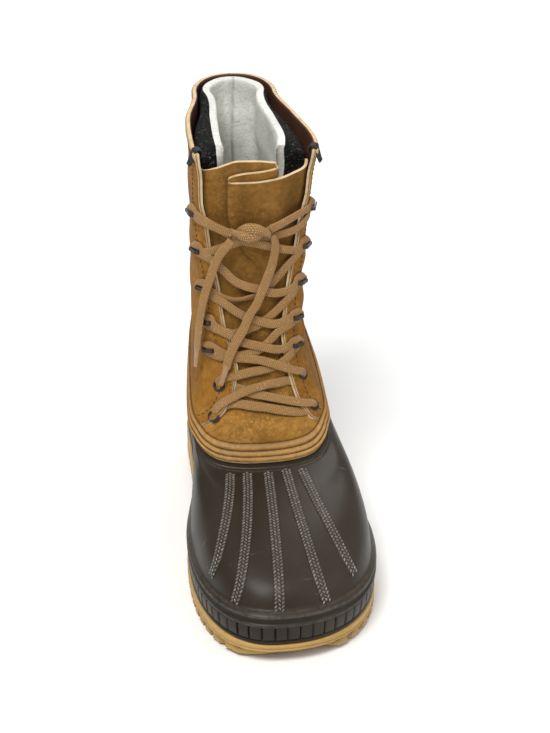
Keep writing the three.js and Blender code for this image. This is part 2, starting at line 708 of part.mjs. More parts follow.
// A tab folded over the collar's edge, at a turn on the outer or the inner side.
function tab(turn) {
  const [inside, outside] = [leatherClearance - clearance, leatherClearance + quarterWall + clearance];
  const half = around(turn, collar, tabWidth / 2) - turn;
  const low = collar - tabDrop / surfacePoint(turn, collar).distanceTo(surfacePoint(turn, collar - 1));
  const top = collar + clearance / 10;
  const thick = tabThickness;
  const lid = thick / surfacePoint(turn, collar).distanceTo(surfacePoint(turn, collar - 1));
  const rowsOf = (inner, outer, from, to) => patch({
    rows: 1, across: 2, inner, outer, place: (a, b) => [mix(turn - half, turn + half, b), mix(from, to, a)],
  });
  return rowsOf(outside, outside + thick, low, top + lid)
    .add(rowsOf(inside - thick, outside + thick, top, top + lid))
    .add(rowsOf(inside - thick, inside, mix(low, collar, 0.5), top + lid));
}

// The crossings of the lace from one edge of the throat to the other, low in the middle where they
// lie on the tongue and high over the leather at both ends.
const laceRest = laceThickness / 2 + 2 * clearance;
const barRest = leatherClearance + bibWall + laceRest;
function crossing(from, to, rest) {
  const ends = [from, to].map(({ row, side }) => {
    const { v } = laceRows[row];
    const edge = throatEdge(side, v);
    const on = edge + (laceRows[row][side] - edge) * 0.25;
    return [side === "out" ? on : -on, v];
  });
  const high = metalSeat + 3 * clearance + laceThickness / 2;
  const path = evenly(0, 1, 8).map((t) => {
    const turn = mix(ends[0][0], ends[1][0], t);
    const v = mix(ends[0][1], ends[1][1], t);
    const within = Math.min(throatEdge("out", v) - turn, turn + throatEdge("in", v)) * perTurn(v);
    return [turn, v, mix(high, rest, smooth(1.3 * laceWidth, 3 * laceWidth, within))];
  });
  return strap(path, laceWidth, laceThickness, 6, true);
}

function lace() {
  const at = (row, side) => ({ row, side });
  const strands = [crossing(at(0, "in"), at(0, "out"), barRest)];
  range(laceRows.length - 1, (i) => {
    strands.push(crossing(at(i, "in"), at(i + 1, "out"), laceRest));
    strands.push(crossing(at(i, "out"), at(i + 1, "in"), laceRest));
  });
  return strands.reduce((solid, strand) => solid.add(strand));
}

function knot() {
  return strap(knotPath, knotSize.width, knotSize.thickness, 8);
}

function laceEnd(path) {
  return strap(path, laceWidth, laceThickness, 3 * path.length);
}

// The stiff tip beyond the last point of a free end.
function agletOn(path) {
  const [before, tip] = path.slice(-2);
  const run = offsetPoint(...tip).distanceTo(offsetPoint(...before));
  const beyond = (length) => tip.map((value, k) => value + ((value - before[k]) * length) / run);
  const ends = [beyond(clearance), beyond(clearance + aglet.length / 2), beyond(clearance + aglet.length)];
  return strap(ends, aglet.width, aglet.thickness, 3);
}

add("outsole", outsole(), gum);
add("shell", shell(), rubber);
add("insole", insole(), board);
add("upper", upper(), suede);
add("tongue", tongue(), suede);
add("liner", liner(), blackFelt);
eyeletPoints.forEach((spot) => add(`eyelet_${spot.side}_${spot.row + 1}`, eyelet(spot), metal));
hookPoints.forEach((spot) => add(`hook_${spot.side}_${spot.row + 1}`, hook(spot), metal));
add("tab_out", tab(0.15), tape);
add("tab_in", tab(-0.156), tape);
add("lace", lace(), tan);
add("lace_knot", knot(), tan);
Object.entries(endPaths).forEach(([side, path]) => {
  add(`lace_end_${side}`, laceEnd(path), tan);
  add(`aglet_${side}`, agletOn(path), tape);
});

// The origin is on the floor under the middle of the boot, its lace's knot and free ends left out.
const looseLace = /^(lace_knot|lace_end|aglet)/;
const extent = new THREE.Box3();
group.children.filter(({ name }) => !looseLace.test(name)).forEach((mesh) => extent.expandByObject(mesh));
const middle = extent.getCenter(new THREE.Vector3());
group.position.set(-middle.x, -middle.y, 0);

export default group;
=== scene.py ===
"""The looks of a lace-up pac boot, left foot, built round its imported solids.

Lengths are millimetres until a mesh is made, which turns them into metres. A place on the boot is
a turn (0 at the toe, round by the outer side to 0.5 at the heel and back by the inner side) and a
section number v (0 at the feather line, 12 at the collar), as in the part's source.
"""
import math

import bpy
import numpy as np
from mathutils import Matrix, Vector


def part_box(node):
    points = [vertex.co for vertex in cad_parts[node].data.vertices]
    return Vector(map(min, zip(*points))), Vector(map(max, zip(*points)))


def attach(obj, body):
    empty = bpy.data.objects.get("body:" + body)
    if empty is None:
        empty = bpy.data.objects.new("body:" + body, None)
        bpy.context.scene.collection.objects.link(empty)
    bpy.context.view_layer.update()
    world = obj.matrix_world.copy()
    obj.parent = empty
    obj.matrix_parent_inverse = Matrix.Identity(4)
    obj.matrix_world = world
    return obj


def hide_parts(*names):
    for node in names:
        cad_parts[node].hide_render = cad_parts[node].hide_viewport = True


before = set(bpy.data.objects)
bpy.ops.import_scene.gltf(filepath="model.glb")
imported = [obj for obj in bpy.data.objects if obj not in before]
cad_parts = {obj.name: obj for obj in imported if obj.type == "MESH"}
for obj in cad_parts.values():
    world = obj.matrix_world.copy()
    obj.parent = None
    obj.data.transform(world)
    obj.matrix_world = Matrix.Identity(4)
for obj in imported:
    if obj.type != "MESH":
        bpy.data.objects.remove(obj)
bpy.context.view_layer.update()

MM = 0.001

# Driving sizes, the same as the part's.
SOLE_LENGTH = 312
BALL_WIDTH = 123
SHAFT_HEIGHT = 258
OUTSOLE_PROUD = 4.2
SHELL_WALL = 3
BUMPER_PROUD = 2.6
FELT_WALL = 6.5
FELT_SOLE = 8
INSOLE_TOP = 5.5
LACE_WIDTH = 6
LACE_THICKNESS = 1.6
FRONT_ARC = 0.4
REAR_ARC = 0.7
HEEL_POWER = 2.2

COLUMNS = (
    "front", "frontRise", "back", "backRise", "follow", "frontX", "backX", "ball", "ballOut",
    "ballIn", "waist", "waistOut", "waistIn", "heel", "heelOut", "heelIn", "toePower",
)
SECTIONS = (
    (0.014, 0, 0.984, 0, 1, -0.05, -0.02,
     0.3, 0.5, 0.43, 0.57, 0.39, 0.34, 0.84, 0.29, 0.32, 2.35),
    (0.009, 0.04, 0.989, 0.034, 1, -0.05, -0.02,
     0.3, 0.515, 0.44, 0.57, 0.39, 0.34, 0.84, 0.3, 0.325, 2.35),
    (0.017, 0.085, 0.99, 0.083, 0.8, -0.05, -0.02,
     0.3, 0.515, 0.44, 0.57, 0.39, 0.345, 0.84, 0.3, 0.325, 2.35),
    (0.055, 0.138, 0.988, 0.137, 0.4, -0.045, -0.02,
     0.29, 0.5, 0.43, 0.57, 0.385, 0.345, 0.84, 0.3, 0.32, 2.3),
    (0.15, 0.187, 0.98, 0.203, 0, -0.035, -0.02,
     0.27, 0.46, 0.405, 0.56, 0.38, 0.35, 0.84, 0.285, 0.305, 2.3),
    (0.27, 0.221, 0.97, 0.268, 0, -0.025, -0.022,
     0.24, 0.405, 0.385, 0.54, 0.37, 0.355, 0.84, 0.27, 0.28, 2.4),
    (0.388, 0.244, 0.96, 0.334, 0, -0.02, -0.025,
     0.2, 0.36, 0.385, 0.5, 0.35, 0.345, 0.82, 0.25, 0.265, 2.6),
    (0.452, 0.312, 0.952, 0.41, 0, -0.025, -0.03,
     0.2, 0.315, 0.35, 0.5, 0.3, 0.325, 0.8, 0.235, 0.26, 2.5),
    (0.502, 0.418, 0.95, 0.509, 0, -0.035, -0.035,
     0.2, 0.24, 0.315, 0.5, 0.235, 0.305, 0.8, 0.21, 0.26, 2.4),
    (0.53, 0.558, 0.952, 0.629, 0, -0.04, -0.038,
     0.18, 0.225, 0.315, 0.5, 0.215, 0.3, 0.8, 0.19, 0.255, 2.4),
    (0.541, 0.71, 0.955, 0.76, 0, -0.045, -0.04,
     0.15, 0.235, 0.318, 0.5, 0.215, 0.3, 0.8, 0.175, 0.245, 2.5),
    (0.53, 0.863, 0.956, 0.891, 0, -0.048, -0.042,
     0.15, 0.255, 0.318, 0.5, 0.215, 0.3, 0.8, 0.16, 0.24, 2.7),
    (0.5, 1, 0.955, 1, 0, -0.05, -0.044,
     0.17, 0.272, 0.315, 0.5, 0.215, 0.3, 0.8, 0.15, 0.235, 3),
)
COLLAR = len(SECTIONS) - 1

# The throat's edge on each side: section and turn.
THROAT_OUT = ((5.9, 0.152), (6.23, 0.143), (6.73, 0.102), (7.18, 0.081), (7.65, 0.079), (8, 0.071),
              (8.52, 0.065), (9.03, 0.073), (9.57, 0.09), (10, 0.103), (10.44, 0.115), (10.96, 0.132),
              (11.63, 0.134), (12.2, 0.13))
THROAT_IN = ((5.9, 0.147), (6.35, 0.137), (6.65, 0.11), (7.07, 0.069), (7.51, 0.045), (8.02, 0.033),
             (8.35, 0.045), (8.66, 0.06), (9.42, 0.074), (9.84, 0.088), (10.5, 0.108), (10.83, 0.122),
             (11.84, 0.133), (12.2, 0.137))

# Lacing points from the toe up: section, outer turn and inner turn. The first two are eyelets.
LACE_ROWS = (
    (7.05, 0.126, -0.096), (7.75, 0.125, -0.084), (8.42, 0.108, -0.108), (8.93, 0.114, -0.114),
    (9.55, 0.132, -0.124), (10.22, 0.146, -0.146), (10.9, 0.17, -0.166),
)
EYELET_ROWS = 2

# The quarters' wall and how far the bib and the tongue stand off the surface.
QUARTER = (0.9, 3.4)
COLLAR_RISE = 0.28
BIB = (0.2, 1.9)
TONGUE = (-2.3, -0.3)
WELT_LINES = (3.9, 8.9, 14.8)


def mix(a, b, t):
    return a + (b - a) * t


def smooth(a, b, value):
    t = np.clip((value - a) / (b - a), 0, 1)
    return t * t * (3 - 2 * t)


def bump(value, centre, width):
    """A soft ridge of height 1."""
    return np.exp(-(((value - centre) / width) ** 2))


def table_at(rows, place):
    """The rows of a table at fractional row numbers, by Catmull-Rom."""
    rows = np.asarray(rows, float)
    place = np.asarray(place, float)
    last = len(rows) - 1
    i = np.clip(np.floor(place).astype(int), 0, last - 1)
    t = (place - i)[..., None]
    a, b, c, d = (rows[np.clip(i + k, 0, last)] for k in (-1, 0, 1, 2))
    curve = b + 0.5 * t * (c - a + t * (2 * a - 5 * b + 4 * c - d + t * (3 * (b - c) + d - a)))
    return np.where((t < 0) | (t > 1), b + (c - b) * t, curve)


def sole_top(y):
    share = y / SOLE_LENGTH + 0.5
    return mix(mix(14, 12.5, smooth(0, 0.26, share)), 24, smooth(0.45, 0.76, share))


def sole_lift(y):
    share = y / SOLE_LENGTH + 0.5
    spring = 4.5 * (1 - np.clip(share / 0.24, 0, 1)) ** 2
    return spring + 3 * smooth(0.46, 0.54, share) * (1 - smooth(0.66, 0.74, share))


def hermite(a, slope_a, b, slope_b, span, t):
    t2, t3 = t * t, t * t * t
    return (a * (2 * t3 - 3 * t2 + 1) + slope_a * span * (t3 - 2 * t2 + t)
            + b * (3 * t2 - 2 * t3) + slope_b * span * (t3 - t2))


def surface(turn, v, toe_power=None):
    """Points of the boot's surface: the outside of the rubber and the inside of the leather."""
    turn, v = np.broadcast_arrays(np.asarray(turn, float), np.asarray(v, float))
    t = turn % 1
    outer = t <= 0.5
    u = np.where(outer, 2 * t, 2 - 2 * t)
    value = dict(zip(COLUMNS, np.moveaxis(table_at(SECTIONS, v), -1, 0)))
    if toe_power:
        value["toePower"] = mix(value["toePower"], toe_power, smooth(6.5, 9, v))
    ball, waist, heel = value["ball"], value["waist"], value["heel"]
    ball_x, waist_x, heel_x = (
        np.where(outer, value[key + "Out"], -value[key + "In"]) for key in ("ball", "waist", "heel"))
    front_angle = np.clip(u / FRONT_ARC, 0, 1) * math.pi / 2
    power = 2 / value["toePower"]
    front_along = ball * (1 - np.cos(front_angle).clip(0) ** power)
    front_x = mix(value["frontX"], ball_x, np.sin(front_angle) ** power)
    rear_angle = np.clip((1 - u) / (1 - REAR_ARC), 0, 1) * math.pi / 2
    power = 2 / HEEL_POWER
    rear_along = 1 - (1 - heel) * (1 - np.cos(rear_angle).clip(0) ** power)
    rear_x = mix(value["backX"], heel_x, np.sin(rear_angle) ** power)
    along = mix(ball, heel, (u - FRONT_ARC) / (REAR_ARC - FRONT_ARC))
    slope = (heel_x - ball_x) / (heel - ball)
    near = hermite(ball_x, 0, waist_x, slope, waist - ball, (along - ball) / (waist - ball))
    far = hermite(waist_x, slope, heel_x, 0, heel - waist, (along - waist) / (heel - waist))
    x = np.where(along < waist, near, far)
    x = np.where(u < FRONT_ARC, front_x, np.where(u > REAR_ARC, rear_x, x))
    along = np.where(u < FRONT_ARC, front_along, np.where(u > REAR_ARC, rear_along, along))
    front_y = SOLE_LENGTH * (value["front"] - 0.5)
    back_y = SOLE_LENGTH * (value["back"] - 0.5)
    y = mix(front_y, back_y, along)
    base = mix(sole_top(front_y), sole_top(back_y), along)
    rise = SHAFT_HEIGHT * mix(value["frontRise"], value["backRise"], along)
    z = base + value["follow"] * (sole_top(y) - base) + rise
    return np.stack([BALL_WIDTH * x, y, z], -1)


def unit(vectors):
    return vectors / np.maximum(np.linalg.norm(vectors, axis=-1, keepdims=True), 1e-9)


def normal(turn, v, toe_power=None):
    step = 0.004
    turn, v = np.asarray(turn, float), np.asarray(v, float)
    around = surface(turn + step, v, toe_power) - surface(turn - step, v, toe_power)
    up = surface(turn, v + step, toe_power) - surface(turn, v - step, toe_power)
    return unit(np.cross(around, up))


def at(turn, v, offset, toe_power=None):
    offset = np.asarray(offset, float)
    return surface(turn, v, toe_power) + normal(turn, v, toe_power) * offset[..., None]


CLIMB_STEPS = 16


def climb(turn, v, length):
    """The section number reached by going a length up the surface."""
    turn, length = np.broadcast_arrays(np.asarray(turn, float), np.asarray(length, float))
    place = np.array(np.broadcast_to(np.asarray(v, float), turn.shape))
    small = 0.02
    for _ in range(CLIMB_STEPS):
        speed = np.linalg.norm(surface(turn, place + small) - surface(turn, place - small), axis=-1)
        place = place + length / CLIMB_STEPS * 2 * small / speed
    return place


def per_turn(v):
    step = 0.05
    return float(np.linalg.norm(surface(step, v) - surface(-step, v)) / (2 * step))


# The rubber's upper edge, at the toe and at the heel.
LOW_V = 5.95
HIGH_V = 7.4


def top_line(turn):
    """The leather's lower edge, which is the rubber's upper one."""
    beside = np.minimum(turn % 1, 1 - turn % 1)
    return mix(LOW_V, HIGH_V, smooth(0.15, 0.9, 2 * beside))


def edge_at(table, v):
    places, turns = zip(*table)
    return np.interp(v, places, turns)


def home():
    """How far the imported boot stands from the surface's own origin, in millimetres."""
    turns = np.arange(50) / 50
    out = normal(turns, 0)
    out[:, 2] = 0
    ring = surface(turns, 0) + unit(out) * OUTSOLE_PROUD
    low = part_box("outsole")[0]
    return np.array([low.x / MM - ring[:, 0].min(), low.y / MM - ring[:, 1].min(), 0])


SHIFT = home()


# Meshes.
def place_in_frame(points):
    return (np.asarray(points, float).reshape(-1, 3) + SHIFT) * MM


def mesh_piece(name, points, faces, looks, picks=None, uv=None, fields=None, crease=50):
    """A mesh riding on the boot. picks gives each face's material, and fields are point values."""
    mesh = bpy.data.meshes.new(name)
    faces = faces.tolist() if isinstance(faces, np.ndarray) else faces
    mesh.from_pydata(place_in_frame(points).tolist(), [], faces)
    for look in looks:
        mesh.materials.append(look)
    if picks is not None:
        mesh.polygons.foreach_set("material_index", np.asarray(picks, np.int32))
    if uv is not None:
        corners = np.empty(len(mesh.loops), np.int32)
        mesh.loops.foreach_get("vertex_index", corners)
        layer = mesh.uv_layers.new(name="UVMap")
        layer.data.foreach_set("uv", np.asarray(uv, np.float32).reshape(-1, 2)[corners].ravel())
    for key, values in (fields or {}).items():
        field = mesh.attributes.new(key, "FLOAT", "POINT")
        field.data.foreach_set("value", np.asarray(values, np.float32).ravel())
    mesh.validate()
    mesh.shade_smooth()
    mesh.set_sharp_from_angle(angle=math.radians(crease))
    piece = bpy.data.objects.new(name, mesh)
    bpy.context.scene.collection.objects.link(piece)
    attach(piece, "root")
    return piece


def quads(rows, cols, wrap=False, base=0):
    i, j = np.meshgrid(np.arange(rows - 1), np.arange(cols if wrap else cols - 1), indexing="ij")
    k = (j + 1) % cols
    corners = (i * cols + j, i * cols + k, (i + 1) * cols + k, (i + 1) * cols + j)
    return np.stack(corners, -1).reshape(-1, 4) + base


def tube_faces(count, size, base=0):
    """Faces of a closed tube of rings, with both ends filled."""
    first = [base + k for k in range(size)]
    last = [k + (count - 1) * size for k in first]
    return quads(count, size, wrap=True, base=base).tolist() + [first[::-1], last]


def spread(count, length, edge):
    """Shares of a length from 0 to 1, closer together near both ends."""
    near = np.array([0, 0.15, 0.5, 1]) * edge / length
    inside = np.linspace(near[-1], 1 - near[-1], count)
    return np.concatenate([near[:-1], inside, 1 - near[:-1][::-1]])


CUT_THICKNESS = 0.6
FAR = 99.0


def softness(distance, edge):
    """How thick a wall is at a distance from its cut edge, as a share of its full thickness."""
    near = 1 - np.clip(distance / edge, 0, 1)
    return mix(CUT_THICKNESS, 1, np.sqrt(1 - near ** 2))


# Down a wall's cut edge: share of its thickness, and depth of the groove there.
EDGE_SHARES = (0.2, 0.38, 0.5, 0.62, 0.8)
EDGE_DEPTHS = (0, 0, 1, 0, 0)


def leaf_faces(rows, cols, covered):
    """Faces of a wall's loops of points, and each one's material: outside, cut edge or inside."""
    extra = len(EDGE_SHARES)
    size = 2 * (cols + extra)
    column = np.tile(np.arange(size), rows - 1)
    picks = np.where(column < cols - 1, 0, np.where(
        (column >= cols + extra) & (column < 2 * cols + extra - 1), 2, 1))
    row = np.repeat(np.arange(rows - 1), size)
    picks[(row < covered) & (picks == 1)] = 0
    last = 2 * cols + extra - 1
    rings = [[j, j + 1, last - 1 - j, last - j] for j in range(cols - 1)]
    rings += [[cols - 1 + k for k in range(extra + 2)], [last + k for k in range(extra + 1)] + [0]]
    caps = [ring[::-1] for ring in rings]
    caps += [[(rows - 1) * size + k for k in ring] for ring in rings]
    faces = quads(rows, size, wrap=True).tolist() + caps
    return faces, np.concatenate([picks, np.ones(len(caps), int)])


def leaf(name, outer, inner, looks, groove=0.0, fields=None, replaces=(), covered=0):
    """A wall between two grids of points, its side edges with a groove along their middle.

    looks are the materials of the outside, the cut edges and the inside. The side edges of the
    first rows, as many as are covered, look like the outside.
    """
    rows, cols = outer.shape[:2]

    def side(column, beside):
        inward = unit(outer[:, beside] - outer[:, column])
        return [mix(outer[:, column], inner[:, column], share) + inward * groove * depth
                for share, depth in zip(EDGE_SHARES, EDGE_DEPTHS)]

    loop = np.concatenate([
        outer, np.stack(side(-1, -2), 1), inner[:, ::-1], np.stack(side(0, 1)[::-1], 1)], axis=1)
    faces, picks = leaf_faces(rows, cols, covered)
    middle = np.broadcast_to(np.array(EDGE_DEPTHS, float) * bool(groove), (rows, len(EDGE_DEPTHS)))
    fields = {key: np.concatenate([values, middle, values[:, ::-1], middle], axis=1)
              for key, values in (fields or {}).items()}
    piece = mesh_piece(name, loop, faces, looks, picks=picks, fields=fields)
    if replaces:
        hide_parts(*replaces)
    return piece


def resample(points, step):
    """Points along a line at even steps, and the length from its start at each."""
    gaps = np.linalg.norm(np.diff(points, axis=0), axis=1)
    run = np.concatenate([[0], np.cumsum(gaps)])
    count = max(2, int(round(run[-1] / step)) + 1)
    even = np.linspace(0, run[-1], count)
    return np.stack([np.interp(even, run, points[:, k]) for k in range(points.shape[1])], 1), even


# Materials.
class Look:
    """A material whose nodes are added one by one."""

    def __init__(self, name, colour, roughness, **values):
        self.material = bpy.data.materials.new(name)
        self.material.use_nodes = True
        self.tree = self.material.node_tree
        self.shader = self.tree.nodes["Principled BSDF"]
        self.shader.inputs["Base Color"].default_value = (*colour, 1)
        self.shader.inputs["Roughness"].default_value = roughness
        for key, value in values.items():
            label = key.replace("_", " ").title().replace("Ior", "IOR")
            self.shader.inputs[label].default_value = value
        self.colour = None
        self.base = colour
        self.place = self.node("ShaderNodeTexCoord").outputs["Object"]
        self.height = None

    def node(self, kind, **settings):
        made = self.tree.nodes.new(kind)
        for key, value in settings.items():
            setattr(made, key, value)
        return made

    def link(self, source, target):
        self.tree.links.new(source, target)

    def noise(self, scale, detail=4, roughness=0.55, stretch=None):
        made = self.node("ShaderNodeTexNoise")
        made.inputs["Scale"].default_value = scale
        made.inputs["Detail"].default_value = detail
        made.inputs["Roughness"].default_value = roughness
        source = self.place
        if stretch:
            mapping = self.node("ShaderNodeMapping")
            mapping.inputs["Scale"].default_value = stretch
            self.link(source, mapping.inputs["Vector"])
            source = mapping.outputs["Vector"]
        self.link(source, made.inputs["Vector"])
        return made.outputs["Fac"]

    def field(self, name):
        return self.node("ShaderNodeAttribute", attribute_name=name).outputs["Fac"]

    def math(self, operation, *values):
        made = self.node("ShaderNodeMath", operation=operation)
        for k, value in enumerate(values):
            if hasattr(value, "is_output"):
                self.link(value, made.inputs[k])
            else:
                made.inputs[k].default_value = value
        return made.outputs["Value"]

    def part(self, source, share):
        return self.math("MULTIPLY", source, share)

    def ramp(self, source, low, high):
        made = self.node("ShaderNodeMapRange")
        made.inputs["From Min"].default_value = low
        made.inputs["From Max"].default_value = high
        self.link(source, made.inputs["Value"])
        return made.outputs["Result"]

    def tint(self, share, colour):
        """Lays a colour over what is there, by a share."""
        made = self.node("ShaderNodeMix", data_type="RGBA")
        inputs = [i for i in made.inputs if i.type == "RGBA"]
        if self.colour is None:
            inputs[0].default_value = (*self.base, 1)
        else:
            self.link(self.colour, inputs[0])
        inputs[1].default_value = (*colour, 1)
        self.link(share, made.inputs["Factor"])
        self.colour = [o for o in made.outputs if o.type == "RGBA"][0]
        self.link(self.colour, self.shader.inputs["Base Color"])

    def relief(self, height, strength, distance):
        made = self.node("ShaderNodeBump")
        made.inputs["Strength"].default_value = strength
        made.inputs["Distance"].default_value = distance
        self.link(height, made.inputs["Height"])
        if self.height is not None:
            self.link(self.height, made.inputs["Normal"])
        self.height = made.outputs["Normal"]
        self.link(self.height, self.shader.inputs["Normal"])

    def gloss(self, source, low, high):
        made = self.node("ShaderNodeMapRange")
        made.inputs["To Min"].default_value = low
        made.inputs["To Max"].default_value = high
        self.link(source, made.inputs["Value"])
        self.link(made.outputs["Result"], self.shader.inputs["Roughness"])


def rubber_look():
    look = Look("shell rubber", (0.023, 0.017, 0.010), 0.37, specular_ior_level=0.2)
    look.tint(look.ramp(look.noise(9, 5), 0.4, 0.7), (0.040, 0.032, 0.022))
    look.tint(look.ramp(look.noise(38, 6, 0.7), 0.58, 0.80), (0.050, 0.039, 0.028))
    scratches = look.ramp(look.noise(48, 2, 0.5, (1, 9, 3)), 0.70, 0.76)
    look.tint(look.part(scratches, 0.35), (0.14, 0.13, 0.12))
    look.tint(look.part(look.field("worn"), look.ramp(look.noise(260, 3), 0.3, 0.6)), (0.14, 0.12, 0.10))
    # deep: painted shade, near black in the rib gaps, the groove, the channel and at the foot.
    look.tint(look.field("deep"), (0.005, 0.004, 0.003))
    look.relief(look.noise(34, 4), 0.10, 0.002)
    look.relief(look.noise(900, 3), 0.12, 0.0003)
    look.gloss(look.noise(22, 5), 0.28, 0.52)
    return look.material


def dust_and_painted_glint_look():
    # The studs are pale grey: partly dust on their raised points, partly a painted glint.
    look = Look("band studs", (0.115, 0.102, 0.088), 0.45)
    look.tint(look.ramp(look.noise(420, 2), 0.45, 0.65), (0.25, 0.23, 0.20))
    look.relief(look.noise(1200, 2), 0.1, 0.0002)
    return look.material


def gum_look():
    look = Look("gum rubber", (0.50, 0.305, 0.085), 0.52, specular_ior_level=0.4)
    look.tint(look.ramp(look.noise(14, 4), 0.35, 0.7), (0.42, 0.25, 0.062))
    look.tint(look.ramp(look.noise(120, 5, 0.7), 0.55, 0.8), (0.27, 0.16, 0.045))
    # deep: painted shade at the lugs' roots and along the sole's low edge.
    look.tint(look.field("deep"), (0.20, 0.11, 0.028))
    look.relief(look.noise(260, 4), 0.14, 0.0006)
    look.gloss(look.noise(40, 4), 0.42, 0.66)
    return look.material


def suede_look(name, base, light, dark):
    look = Look(name, base, 0.88, sheen_weight=0.03, sheen_roughness=0.45, specular_ior_level=0.08)
    look.tint(look.part(look.ramp(look.noise(12, 5, 0.6), 0.42, 0.64), 0.8), light)
    look.tint(look.part(look.ramp(look.noise(24, 6, 0.7), 0.45, 0.66), 0.8), dark)
    look.tint(look.part(look.ramp(look.noise(85, 6, 0.75), 0.50, 0.66), 0.6), light)
    look.tint(look.part(look.ramp(look.noise(260, 6, 0.8), 0.47, 0.62), 0.7), dark)
    look.tint(look.part(look.ramp(look.noise(520, 5, 0.75), 0.50, 0.64), 0.7), light)
    # Darker where the laces rub and at other spots, and painted shade right of the tongue's top.
    look.tint(look.field("soil_and_shade"), (0.070, 0.028, 0.006))
    look.tint(look.part(look.field("pale"), 0.8), (0.53, 0.36, 0.20))
    # deep: painted shade in the valleys at the stitched lines, and the quarters' dark back seam.
    look.tint(look.field("deep"), (0.030, 0.011, 0.003))
    look.relief(look.noise(60, 5), 0.22, 0.0014)
    look.relief(look.noise(900, 5, 0.75), 0.45, 0.0005)
    return look.material


def felt_look(name, base, fleck, share):
    look = Look(name, base, 0.97, sheen_weight=0.02, sheen_roughness=0.6, specular_ior_level=0.08)
    look.tint(look.ramp(look.noise(30, 5), 0.4, 0.75), tuple(0.8 * value for value in base))
    look.tint(look.ramp(look.noise(420, 5, 0.8, (1, 1, 2.0)), share, share + 0.08), fleck)
    look.tint(look.field("seam"), tuple(0.45 * value for value in base))
    look.relief(look.noise(60, 5), 0.5, 0.004)
    look.relief(look.noise(500, 5, 0.75), 0.7, 0.0012)
    return look.material


def plain_look(name, base, roughness, grain=300, strength=0.15, **values):
    look = Look(name, base, roughness, **values)
    look.tint(look.ramp(look.noise(grain / 3, 4), 0.4, 0.75), tuple(0.65 * value for value in base))
    look.relief(look.noise(grain, 4), strength, 0.0004)
    return look.material


def raw_look(name, base):
    """Cut leather: pale, with a dark line where two layers meet."""
    look = Look(name, base, 0.85, specular_ior_level=0.2)
    look.tint(look.ramp(look.noise(160, 4), 0.45, 0.75), (0.42, 0.27, 0.13))
    look.tint(look.field("deep"), (0.10, 0.045, 0.015))
    look.relief(look.noise(500, 4), 0.3, 0.0004)
    return look.material


def lace_look():
    """A flat woven lace: slanted ribs that meet along its middle."""
    look = Look("woven lace", (0.43, 0.245, 0.088), 0.85, sheen_weight=0.15, specular_ior_level=0.2)
    uv = look.node("ShaderNodeUVMap", uv_map="UVMap").outputs["UV"]
    split = look.node("ShaderNodeSeparateXYZ")
    look.link(uv, split.inputs["Vector"])
    across = look.math("ABSOLUTE", look.math("SUBTRACT", split.outputs["Y"], 0.5))
    slant = look.math("ADD", look.part(split.outputs["X"], 26), look.part(across, 20))
    rib = look.math("MULTIPLY_ADD", look.math("SINE", slant), 0.5, 0.5)
    strand = look.math("SINE", look.part(split.outputs["Y"], 44))
    weave = look.part(rib, look.math("MULTIPLY_ADD", strand, 0.5, 0.5))
    look.tint(look.ramp(look.noise(30, 4), 0.4, 0.75), (0.47, 0.28, 0.115))
    # Darker where the weave is low: painted shade between its ribs.
    look.tint(look.ramp(weave, 0.45, 0.0), (0.20, 0.100, 0.032))
    look.tint(look.ramp(look.noise(900, 3), 0.6, 0.75), (0.55, 0.36, 0.17))
    look.relief(weave, 0.55, 0.0006)
    look.relief(look.noise(1500, 3), 0.3, 0.0003)
    return look.material


RUBBER = rubber_look()
DUST_AND_PAINTED_GLINT = dust_and_painted_glint_look()
GUM = gum_look()
SUEDE = suede_look(
    "suede quarters", (0.270, 0.118, 0.018), (0.370, 0.180, 0.036), (0.125, 0.052, 0.008))
BIB_SUEDE = suede_look(
    "suede bib", (0.300, 0.142, 0.024), (0.500, 0.270, 0.070), (0.120, 0.050, 0.008))
RAW = raw_look("cut leather edge", (0.60, 0.455, 0.275))
LINING = plain_look("leather lining", (0.075, 0.026, 0.012), 0.55, 260, 0.2)
BLACK_FELT = felt_look("black felt", (0.006, 0.006, 0.005), (0.21, 0.21, 0.19), 0.575)
FLEECE = felt_look("pale fleece", (0.76, 0.76, 0.70), (0.48, 0.49, 0.46), 0.54)
LACE = lace_look()
METAL = plain_look("dark hooks", (0.055, 0.045, 0.036), 0.36, 500, 0.1, metallic=0.85)
TAPE = plain_look("black tape", (0.012, 0.011, 0.011), 0.75, 700, 0.4)
THREAD = plain_look("dark thread", (0.050, 0.020, 0.009), 0.7, 900, 0.3)
BOARD = plain_look("insole board", (0.26, 0.20, 0.12), 0.9, 300, 0.3)
AGLET = plain_look("lace tip", (0.34, 0.20, 0.09), 0.35, 600, 0.1)


# The camera stands where the photograph's did, seen from the boot.
CAMERA_PLACE = (-134.5, -1162.3, 768.1)
CAMERA_AIM = (8.7, 0, 127.8)
CAMERA_LENS = 98
CAMERA_SENSOR = 36


def camera():
    data = bpy.data.cameras.new("camera")
    data.lens = CAMERA_LENS
    data.sensor_width = CAMERA_SENSOR
    made = bpy.data.objects.new("camera", data)
    bpy.context.scene.collection.objects.link(made)
    place, aim = (Vector(place_in_frame(p)[0]) for p in (CAMERA_PLACE, CAMERA_AIM))
    made.location = place
    made.rotation_euler = (aim - place).to_track_quat("-Z", "Y").to_euler()
    bpy.context.scene.camera = made


# Laces. Each control point is a turn, a section, a height off the surface and a roll in degrees.
RIBBON_STEP = 1.3
RIBBON_SIDES = 14


def circle(count):
    return np.arange(count) / count * 2 * math.pi


def rounded(values, power):
    """Sines or cosines bent towards a square, as wide as one."""
    return np.sign(values) * np.abs(values) ** power / 2


def ribbon_path(control):
    places = np.linspace(0, len(control) - 1, 24 * len(control))
    values = table_at(control, places)
    points = at(values[:, 0], values[:, 1], values[:, 2])
    out = normal(values[:, 0], values[:, 1])
    line, run = resample(np.concatenate([points, out, values[:, 3:]], 1), RIBBON_STEP)
    return line[:, :3], unit(line[:, 3:6]), line[:, 6:], run


